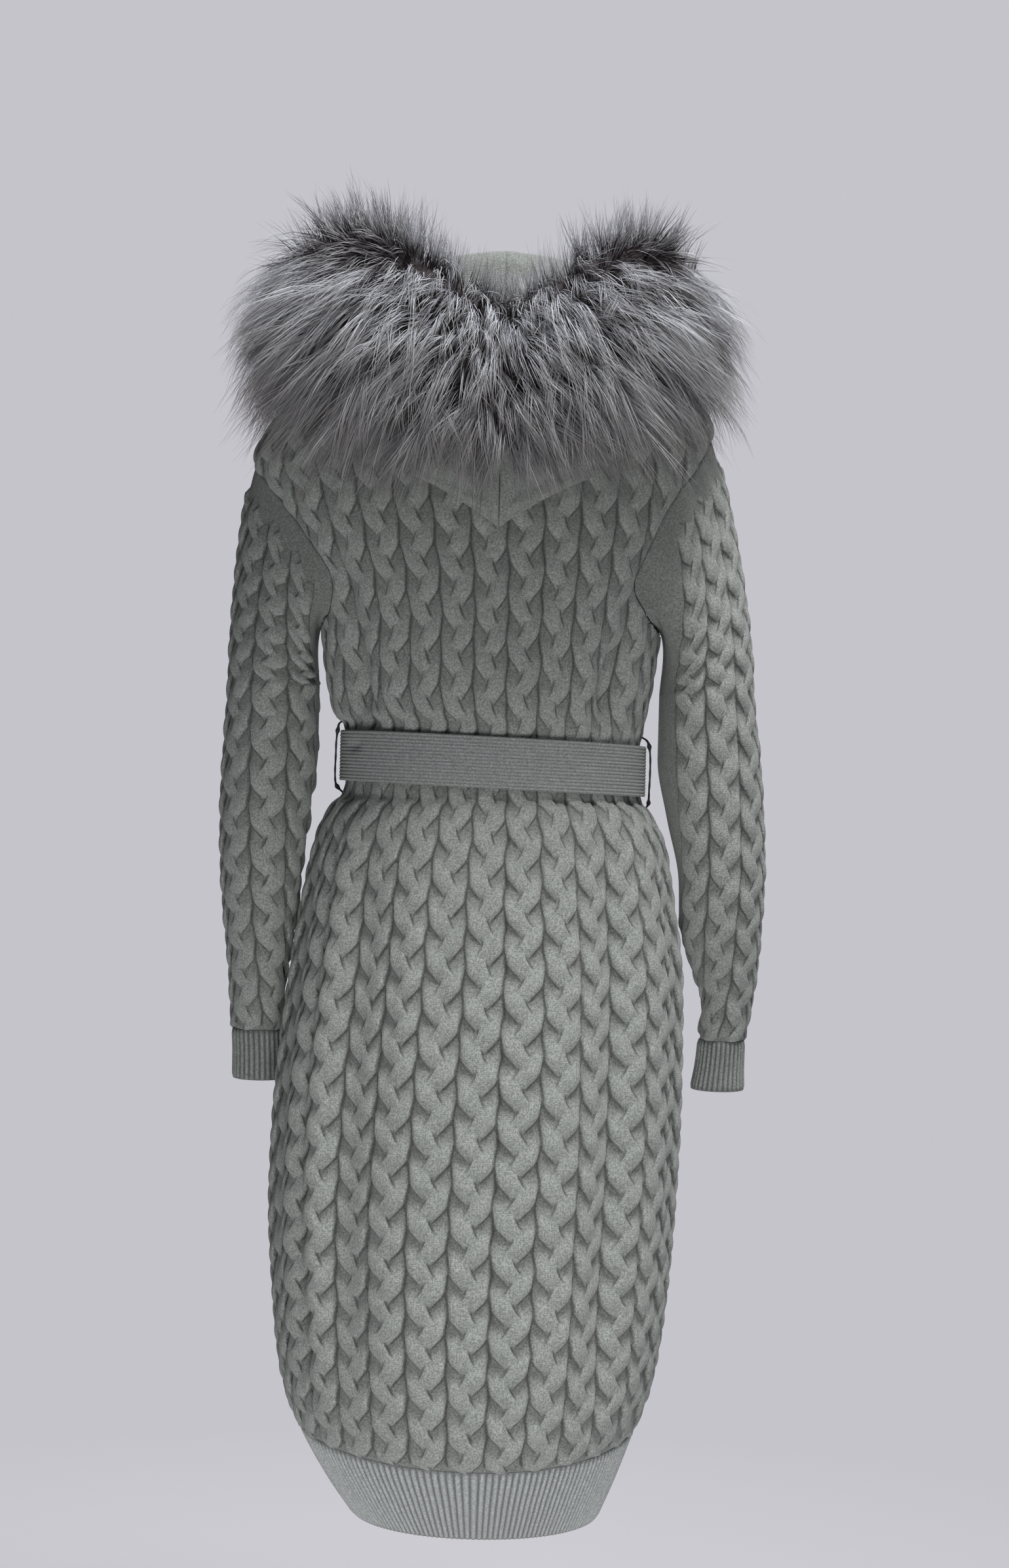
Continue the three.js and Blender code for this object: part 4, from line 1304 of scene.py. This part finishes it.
def lock_ways(random, t, phi, axis, outward, climb, fan, combed):
    """Which way each lock leaves the pelt, and which way it points at its end. Combed hair falls over
    the shoulders, and the rest stands up."""
    noise = random.normal(0, 1, (LOCKS, 3))
    combed = combed[:, None]
    up = np.array([0, 0, 1.0])
    away = unit(axis * [1, 1, 0])
    fan = fan * np.sign(t)[:, None]
    side = np.clip(np.abs(axis[:, 0:1]) / 190, 0, 1)
    swirl = (np.sin(t * 31) * np.sin(t * 17 + 1.3))[:, None]
    under = smooth((20 - phi) / 80)[:, None]
    leave_down = outward * 0.95 - climb * 0.45 + fan * (0.1 + 0.25 * side) + noise * 0.14
    arrive_down = -up * 0.95 + away * (0.32 - 0.24 * under)
    arrive_down = arrive_down + fan * (0.2 + 0.35 * side + 0.22 * swirl) + noise * 0.2
    leave_up = outward * 0.75 + up * 0.5 + away * 0.25
    arrive_up = up * (0.85 - 0.35 * side**3) + outward * 0.3 + away * (0.2 + 0.3 * side**3)
    arrive_up = arrive_up + fan * 0.2 + noise * 0.22
    leave = unit(lerp(leave_up, leave_down, combed) + noise * 0.14)
    return leave, unit(lerp(arrive_up, arrive_down, combed))


def lock_lengths(random, phi, axis, combed, core):
    """Long where it is combed down, longest low at the back, and short at the parting and in front."""
    behind = axis[:, 1] > 0
    from_middle = np.abs(axis[:, 0])
    length = lerp(UP_LENGTH, DOWN_LENGTH, combed) * random.uniform(0.72, 1.14, LOCKS)
    centre_top = bell(axis[:, 0] / 70) * (1 - combed) * behind
    low_side = bell((from_middle - 98) / 46) * smooth((55 - phi) / 50) * behind
    bearing = np.degrees(np.arctan2(axis[:, 1], from_middle))
    length = length * (1 - 0.16 * centre_top)
    length = length * (1 - 0.45 * core)
    length = length * (1 + 0.55 * low_side)
    length = length * (1 + 0.24 * smooth(axis[:, 0] / 150)) * (1 + 0.06 * smooth(-axis[:, 0] / 150))
    return length * (1 - 0.3 * smooth((20 - bearing) / 40))


def held_in(points):
    for axis, start, most in HAIR_LIMITS:
        past = (points[..., axis] - start) / most
        limited = start + most * np.tanh(np.maximum(past, 0))
        points[..., axis] = np.where(past > 0, limited, points[..., axis])
    return points


def build_hair(material):
    """Ribbons of hair in locks, in one piece for each side and one for the back."""
    random = np.random.default_rng(FUR_SEED)
    t, phi = lock_places(random)
    root = fur_point(t, phi)
    round_section = fur_point(t, phi + 1) - fur_point(t, phi - 1)
    along_trim = fur_point(t + 1e-3, phi) - fur_point(t - 1e-3, phi)
    axis = section_middle(t)
    outward = unit(np.cross(round_section, along_trim))
    outward = outward * np.sign(np.sum(outward * (root - axis), -1))[:, None]
    climb, fan = unit(round_section), unit(along_trim)
    bend = bell((np.abs(axis[:, 0]) - BEND_MIDDLE) / BEND_HALF) * (axis[:, 1] > 0)
    part_at = PARTING - PARTING_BEND * bend + random.normal(0, 8, LOCKS)
    combed = smooth((part_at - phi + 8) / 20) * smooth((phi + 125) / 30)
    core = bend * bell((phi - part_at - 4) / 24)
    leave, arrive = lock_ways(random, t, phi, axis, outward, climb, fan, combed)
    length = lock_lengths(random, phi, axis, combed, core)

    total = LOCKS * LOCK_HAIRS
    lock = np.repeat(np.arange(LOCKS), LOCK_HAIRS)
    spin = random.uniform(0, TURN, total)
    reach = np.sqrt(random.uniform(0, 1, total)) * LOCK_RADIUS
    start = (np.cos(spin) * reach)[:, None] * climb[lock] + (np.sin(spin) * reach)[:, None] * fan[lock]
    hair_length = (length[lock] * random.uniform(0.7, 1.12, total))[:, None]
    draw = random.uniform(0.3, 0.85, total)[:, None]
    stray = random.normal(0, 1, (total, 3))
    stray = stray * np.where(random.uniform(size=total) < 0.2, 8.0, 3.0)[:, None]
    width = random.uniform(0.45, 0.8, total)
    face_way = unit(outward[lock] + random.normal(0, 0.45, (total, 3)))
    steps = np.linspace(0, 1, HAIR_STEPS)
    lines, tangents = [], []
    for step in steps:
        bent = leave[lock] * (step - step**2 / 2) + arrive[lock] * step**2 / 2
        middle = root[lock] + hair_length * bent
        sunk = outward[lock] * 2 * (1 - step)
        lines.append(middle + start * (1 - draw * step**0.9) + stray * step**1.5 - sunk)
        tangents.append(unit(leave[lock] * (1 - step) + arrive[lock] * step))
    lines, tangents = np.stack(lines, 1), np.stack(tangents, 1)
    places = np.linspace(0, HAIR_STEPS - 1, HAIR_STEPS)[None, :] * free_shares(lines)[:, None]
    lines, tangents = resampled(lines, places), resampled(tangents, places)
    edges = []
    for step, share in enumerate(HAIR_WIDTHS):
        wide = unit(np.cross(tangents[:, step], face_way)) * (width * share / 2)[:, None]
        edges += [lines[:, step] - wide, lines[:, step] + wide]
    points = held_in(np.stack(edges + [lines[:, -1]], 1))
    per = points.shape[1]
    one = []
    for k in range(0, per - 3, 2):
        one += [(k, k + 1, k + 3), (k, k + 3, k + 2)]
    one = np.array(one + [(per - 3, per - 2, per - 1)])

    along = np.array([steps[k // 2] for k in range(per - 1)] + [1.0])
    combed = combed[lock]
    near_part = bell((phi - part_at - 4) / 34)[lock]
    tone = random.uniform(size=total)
    lock_tone = random.uniform(size=LOCKS)[lock]
    silver = np.clip(combed * smooth((phi[lock] + 60) / 110) + 0.85 * (1 - combed), 0, 1)
    silver = silver * (1 - 0.8 * core[lock])
    # The hair's own dark roots show further along near the parting and in the core; in the hollows between
    # tufts, the longer dark part is painted shade.
    tuft = np.sin(t * 37 + np.radians(phi) * 2.3) * np.sin(t * 14 - np.radians(phi) * 3.1 + 0.8)
    tuft_gap_shade = np.clip(tuft, 0, 1)[lock]
    dark_root_and_gap_shade = (0.22 + 0.34 * combed) * near_part + 0.3 * core[lock] + 0.2 * tuft_gap_shade
    shown = along[None, :] - dark_root_and_gap_shade[:, None] * (1 - along[None, :])
    piece_at = np.digitize(t[lock], [-BACK_HAIR, BACK_HAIR])
    for k, name in enumerate(HAIR_PIECES):
        pick = np.flatnonzero(piece_at == k)
        faces = (one[None] + (np.arange(len(pick)) * per)[:, None, None]).reshape(-1, 3)
        look = vector(shown[pick], tone[pick][:, None], lock_tone[pick][:, None])
        shine = np.broadcast_to(silver[pick][:, None], (len(pick), per))
        values = {"hair": look.reshape(-1, 3), "silver": shine.ravel()}
        piece = make(name, points[pick].reshape(-1, 3), faces, material, values, turn=False)
        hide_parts("fur_trim")


# ---------------------------------------------------------------- materials


class Tree:
    """A material's nodes. node() links sockets and sets plain values."""

    def __init__(self, name):
        self.material = bpy.data.materials.new(name)
        self.material.use_nodes = True
        self.tree = self.material.node_tree
        self.tree.nodes.clear()
        self.output = self.tree.nodes.new("ShaderNodeOutputMaterial")

    def node(self, kind, inputs=None, output=0, **settings):
        node = self.tree.nodes.new("ShaderNode" + kind)
        for key, value in settings.items():
            setattr(node, key, value)
        for key, value in (inputs or {}).items():
            if isinstance(value, bpy.types.NodeSocket):
                self.tree.links.new(value, node.inputs[key])
            else:
                node.inputs[key].default_value = value
        return node.outputs[output]

    def math(self, operation, a, b=0.0, c=0.0):
        return self.node("Math", {0: a, 1: b, 2: c}, operation=operation)

    plus = partialmethod(math, "ADD")
    minus = partialmethod(math, "SUBTRACT")
    times = partialmethod(math, "MULTIPLY")
    times_plus = partialmethod(math, "MULTIPLY_ADD")
    divided = partialmethod(math, "DIVIDE")
    power = partialmethod(math, "POWER")
    highest = partialmethod(math, "MAXIMUM")
    sine = partialmethod(math, "SINE")
    magnitude = partialmethod(math, "ABSOLUTE")

    def place(self):
        return self.node("TexCoord", output="Object")

    def parts(self, attribute):
        """The three numbers of a vector that the mesh carries at its points."""
        carried = self.node("Attribute", output="Vector", attribute_name=attribute)
        return self.node("SeparateXYZ", {0: carried}).node.outputs

    def noise(self, place, scale, detail, roughness):
        inputs = {"Vector": place, "Scale": scale, "Detail": detail, "Roughness": roughness}
        return self.node("TexNoise", inputs)

    def ramp(self, value, low, high, to_low=0.0, to_high=1.0):
        inputs = {"Value": value, "From Min": low, "From Max": high, "To Min": to_low, "To Max": to_high}
        return self.node("MapRange", inputs)
    # The reach and the depth of the painted shadow that a strand casts on the strands it lies over.

    def bump(self, height, distance, strength):
        return self.node("Bump", {"Height": height, "Distance": distance, "Strength": strength})

    def mix(self, factor, a, b, blend="MIX"):
        node = self.tree.nodes.new("ShaderNodeMix")
        node.data_type = "RGBA"
        node.blend_type = blend
        for key, value in (("Factor_Float", factor), ("A_Color", a), ("B_Color", b)):
            socket = next(s for s in node.inputs if s.identifier == key)
            if isinstance(value, bpy.types.NodeSocket):
                self.tree.links.new(value, socket)
            else:
                socket.default_value = value
        return next(s for s in node.outputs if s.identifier == "Result_Color")

    def finish(self, shader):
        self.tree.links.new(shader, self.output.inputs["Surface"])
        return self.material

    def cloth(self, base, roughness, **inputs):
        inputs = {name.replace("_", " "): value for name, value in inputs.items()}
        return self.node("BsdfPrincipled", {"Base Color": base, "Roughness": roughness, **inputs})


def colour(red, green, blue):
    """A linear colour from an everyday 0 to 255 one."""
    shares = [c / 255 for c in (red, green, blue)]
    return tuple(((c + 0.055) / 1.055) ** 2.4 if c > 0.04 else c / 12.92 for c in shares) + (1,)


def plait_nodes(tree, across, down):
    """The height of cable() at each point, and the painted shadow that the strands beside it cast on it,
    with a painted dark line along each column's edge.
    """
    swerve = tree.math("COSINE", tree.times(tree.plus(down, WANDER_START), TURN))
    moved = tree.times_plus(swerve, -WANDER, across)
    column = tree.math("FLOOR", moved)
    x = tree.minus(tree.minus(moved, column), 0.5)
    shifts = [tree.times(tree.sine(tree.times(column, quick)), far) for quick, far in PHASES]
    start = tree.plus(down, tree.plus(*shifts))
    strands = []
    height = None
    for strand in range(STRANDS):
        theta = tree.times(tree.plus(start, float(strand)), TURN / STRANDS)
        swing = tree.math("TANH", tree.times(tree.sine(theta), HASTE))
        swung = tree.times_plus(swing, -SWING / float(np.tanh(HASTE)), x)
        off = tree.divided(tree.magnitude(swung), STRAND_HALF)
        flat = tree.highest(tree.minus(1.0, tree.power(off, STRAND_SQUARE)), 0.0)
        body = tree.power(flat, 1 / STRAND_SQUARE)
        lifted = tree.sine(tree.times_plus(theta, 2.0, -LATE))
        level = tree.times(lifted, -STRAND_RISE)
        top = tree.times_plus(body, STRAND_BODY, level)
        top = tree.times_plus(tree.math("GREATER_THAN", off, 1.0), NOWHERE, top)
        height = top if height is None else tree.highest(height, top)
        strands.append((off, level, swung))
    height = tree.plus(height, CABLE_TOP - STRAND_BODY)
    edge = tree.minus(0.5, tree.magnitude(x))
    height = tree.highest(height, CREASE_FLOOR)
    # Painted shade: a dark line along each column's edge, then the painted shadow of each strand beside.
    painted_shade = tree.ramp(edge, 0.045, 0.012, 0.0, 0.6)
    for off, level, side in strands:
        near = tree.ramp(off, 1 + SHADOW_REACH, 0.96)
        drop = tree.minus(level, height)
        painted_shadow = tree.times(near, tree.ramp(drop, 0.1, SHADOW_DROP))
        # The painted shadow is weaker on one side of each strand, as though the light falls from that side.
        painted_shadow = tree.times(painted_shadow, tree.ramp(side, -0.2, 0.2, 0.72, 1.0))
        painted_shade = tree.highest(painted_shade, painted_shadow)
    groove = tree.power(tree.ramp(edge, EDGE_WIDTH, 0.0), 2.0)
    height = tree.times_plus(groove, -EDGE_DROP, height)
    return tree.highest(height, CREASE_FLOOR), painted_shade


WALE, COURSE = 2.3, 1.7  # the width and height of a stitch
FLECK = (214, 216, 214)
# The low and the high level between which each knit's painted shade lifts, and how dark that painted shade
# is at the low one.
CABLE_PAINTED_SHADE = (-3.4, 1.2, 0.47)
RIB_PAINTED_SHADE = (-1.1, 0.3, 0.36)
BELT_PAINTED_SHADE = (-0.6, 0.3, 0.7)


def knit_material(name, light, dark, groove, cabled=False):
    """Heather yarn in small stitches, with painted shade darkening its grooves and the gaps between its
    stitches.
    """
    tree = Tree(name)
    light, dark = colour(*light), colour(*dark)
    across, along, height = tree.parts("knit")
    place = tree.place()
    column = tree.divided(across, WALE)
    from_middle = tree.magnitude(tree.minus(tree.math("FRACT", column), 0.5))
    slant = tree.times(from_middle, 1.1)
    wave = tree.sine(tree.times(tree.minus(tree.divided(along, COURSE), slant), TURN))
    gap = tree.power(tree.times(from_middle, 2.0), 5.0)
    stitch = tree.minus(tree.times(wave, 0.5), gap)
    fuzz = tree.noise(place, 1100, 3, 0.6)
    flecks = tree.noise(place, 620, 2, 0.55)
    clouds = tree.noise(place, 150, 2, 0.5)
    broad = tree.noise(place, 9, 2, 0.5)
    mottle = tree.ramp(flecks, 0.36, 0.64)
    base = tree.mix(mottle, dark, light)
    base = tree.mix(tree.ramp(clouds, 0.3, 0.7, 0.0, 0.35), base, dark)
    base = tree.mix(tree.ramp(fuzz, 0.62, 0.74, 0.0, 0.5), base, colour(*FLECK))
    base = tree.mix(tree.ramp(broad, 0.35, 0.65, 0.0, 0.12), base, dark)
    # Painted shade: the colour darkens where the knit lies low, in its grooves and creases, and between its
    # stitches.
    painted_shade = tree.ramp(height, *groove, 1.06)
    painted_shade = tree.times(painted_shade, tree.ramp(stitch, -1.2, 0.5, 0.88, 1.03))
    rise = tree.plus(tree.times(stitch, 0.45), tree.times(fuzz, 0.9))
    if cabled:
        columns, repeats, strength = tree.parts("plait")
        # Painted shadow of the plait's strands on one another, which darkens the colour.
        exact, painted_shadow = plait_nodes(tree, columns, repeats)
        exact = tree.times(exact, strength)
        there = tree.ramp(strength, 0.1, 0.5)
        painted_shadow = tree.times(painted_shadow, there)
        over = tree.times(tree.minus(exact, height), there)
        painted_shade = tree.times(painted_shade, tree.ramp(painted_shadow, 0.0, 1.0, 1.0, 0.13))
        rise = tree.times_plus(over, 1.6, rise)
    # The painted shade and the painted shadow darken the yarn's colour.
    base = tree.mix(1.0, base, painted_shade, "MULTIPLY")
    bump = tree.bump(rise, 0.0005, 0.75)
    return tree.finish(
        tree.cloth(base, 0.95, Normal=bump, Specular_IOR_Level=0.15, Sheen_Weight=0.25, Sheen_Roughness=0.6)
    )


def hair_material():
    tree = Tree("silver fox hair")
    along, tone, lock = tree.parts("hair")
    silver = tree.node("Attribute", output="Fac", attribute_name="silver")
    shifted = tree.plus(along, tree.times(tree.minus(tone, 0.5), 0.25))
    rise = tree.ramp(shifted, 0.1, 0.5)
    fall = tree.ramp(shifted, 0.62, 0.92, 1.0, 0.0)
    band = tree.times(rise, fall)
    light = tree.mix(lock, colour(158, 160, 168), colour(222, 225, 233))
    root = tree.mix(tone, colour(38, 31, 34), colour(66, 58, 61))
    tip = tree.mix(tone, colour(72, 68, 68), colour(146, 142, 139))
    base = tree.mix(rise, root, tip)
    amount = tree.times(band, tree.ramp(silver, 0.0, 1.0, 0.3, 0.95))
    base = tree.mix(amount, base, light)
    return tree.finish(tree.cloth(base, 0.55, Specular_IOR_Level=0.35, Sheen_Weight=0.1))


def rough_material(name, dark, light, noise, bump, roughness):
    """Two colours mottled by a noise, which roughens the surface too."""
    tree = Tree(name)
    mottle = tree.noise(tree.place(), *noise)
    base = tree.mix(mottle, colour(*dark), colour(*light))
    return tree.finish(tree.cloth(base, roughness, Normal=tree.bump(mottle, *bump)))


# ---------------------------------------------------------------- stage, lights and camera

CAMERA_PLACE = (-0.011, 2.3, -0.432)
CAMERA_LENS = 55.8
CAMERA_ROLL = 1.45
FLOOR_HEIGHT = -1.5
FLOOR_REACH, FLOOR_SIDES = 14, 64
WORLD = colour(197, 196, 203)
AMBIENT = 0.2


def aim(thing, place, target):
    thing.location = place
    thing.rotation_mode = "QUATERNION"
    thing.rotation_quaternion = (Vector(target) - Vector(place)).to_track_quat("-Z", "Y")


def area_light(name, place, target, size, power):
    data = bpy.data.lights.new(name, "AREA")
    data.shape = "RECTANGLE"
    data.size = data.size_y = size
    data.energy = power
    aim(linked(name, data), place, target)


def build_stage():
    angles = np.arange(FLOOR_SIDES) / FLOOR_SIDES * TURN
    rim = [(FLOOR_REACH * math.cos(a), FLOOR_REACH * math.sin(a), FLOOR_HEIGHT) for a in angles]
    mesh = bpy.data.meshes.new("floor")
    mesh.from_pydata(rim, [], [list(range(FLOOR_SIDES))])
    floor = linked("floor", mesh)
    tree = Tree("pale floor")
    place = tree.place()
    far = tree.node("VectorMath", {0: place}, output="Value", operation="LENGTH")
    fade = tree.ramp(far, 0.7, 2.3)
    noise = tree.noise(place, 3, 2, 0.5)
    base = tree.mix(noise, colour(219, 217, 219), colour(224, 222, 224))
    inputs = {0: fade, 1: tree.cloth(base, 0.9), 2: tree.node("BsdfTransparent")}
    mesh.materials.append(tree.finish(tree.node("MixShader", inputs)))
    world = bpy.data.worlds.new("studio")
    bpy.context.scene.world = world
    world.use_nodes = True
    background = world.node_tree.nodes["Background"]
    background.inputs[0].default_value = WORLD
    nodes, links = world.node_tree.nodes, world.node_tree.links
    light_path = nodes.new("ShaderNodeLightPath")
    strength = nodes.new("ShaderNodeMapRange")
    strength.inputs["To Min"].default_value = AMBIENT
    links.new(light_path.outputs["Is Camera Ray"], strength.inputs["Value"])
    links.new(strength.outputs[0], background.inputs[1])


def build_camera():
    data = bpy.data.cameras.new("camera")
    data.sensor_width = 36
    data.lens = CAMERA_LENS
    data.clip_start, data.clip_end = 0.05, 60
    camera = linked("camera", data)
    bpy.context.scene.camera = camera
    level = Matrix.Rotation(math.pi, 4, "Z") @ Matrix.Rotation(math.pi / 2, 4, "X")
    roll = Matrix.Rotation(math.radians(CAMERA_ROLL), 4, "Z")
    camera.matrix_world = Matrix.Translation(CAMERA_PLACE) @ level @ roll


bpy.context.scene.view_settings.view_transform = "Standard"
build_camera()
build_stage()
area_light("key", (-0.6, 0.95, 2.3), (0, 0.1, -0.6), 0.8, 96)
area_light("front", (0.4, -3.2, 1.4), (0, 0, -0.6), 1.4, 84)
area_light("low", (0.0, 1.8, -1.4), (0, 0, -1.0), 0.8, 21)

cable_knit = knit_material("cable knit", (176, 180, 176), (124, 128, 124), CABLE_PAINTED_SHADE, cabled=True)
# Painted light: the ribs are the same yarn as the cable knit, in lighter colours that stand in for the
# light on the hem.
lit_rib_knit = knit_material("rib knit", (198, 202, 201), (152, 156, 155), RIB_PAINTED_SHADE)
belt_knit = knit_material("belt knit", (166, 169, 168), (127, 130, 129), BELT_PAINTED_SHADE)
# Painted shade: the cuffs are the same yarn as the ribs, in darker colours that stand in for the shade
# where the sleeves hang at the sides.
shaded_cuff_knit = knit_material("cuff knit", (160, 163, 161), (120, 123, 121), RIB_PAINTED_SHADE)
fox = hair_material()
underwool = rough_material("fur underwool", (34, 28, 31), (74, 66, 69), (300, 4, 0.6), (0.003, 0.8), 1.0)
thread = rough_material("thread cord", (30, 31, 33), (62, 63, 65), (900, 2, 0.5), (0.0003, 0.6), 0.9)

build_panels(cable_knit)
build_sleeves(cable_knit)
build_hem(lit_rib_knit)
build_bands(lit_rib_knit)
build_cuffs(shaded_cuff_knit)
build_belt(belt_knit)
build_hood(cable_knit)
build_pelt(underwool)
build_hair(fox)
build_loops(thread)
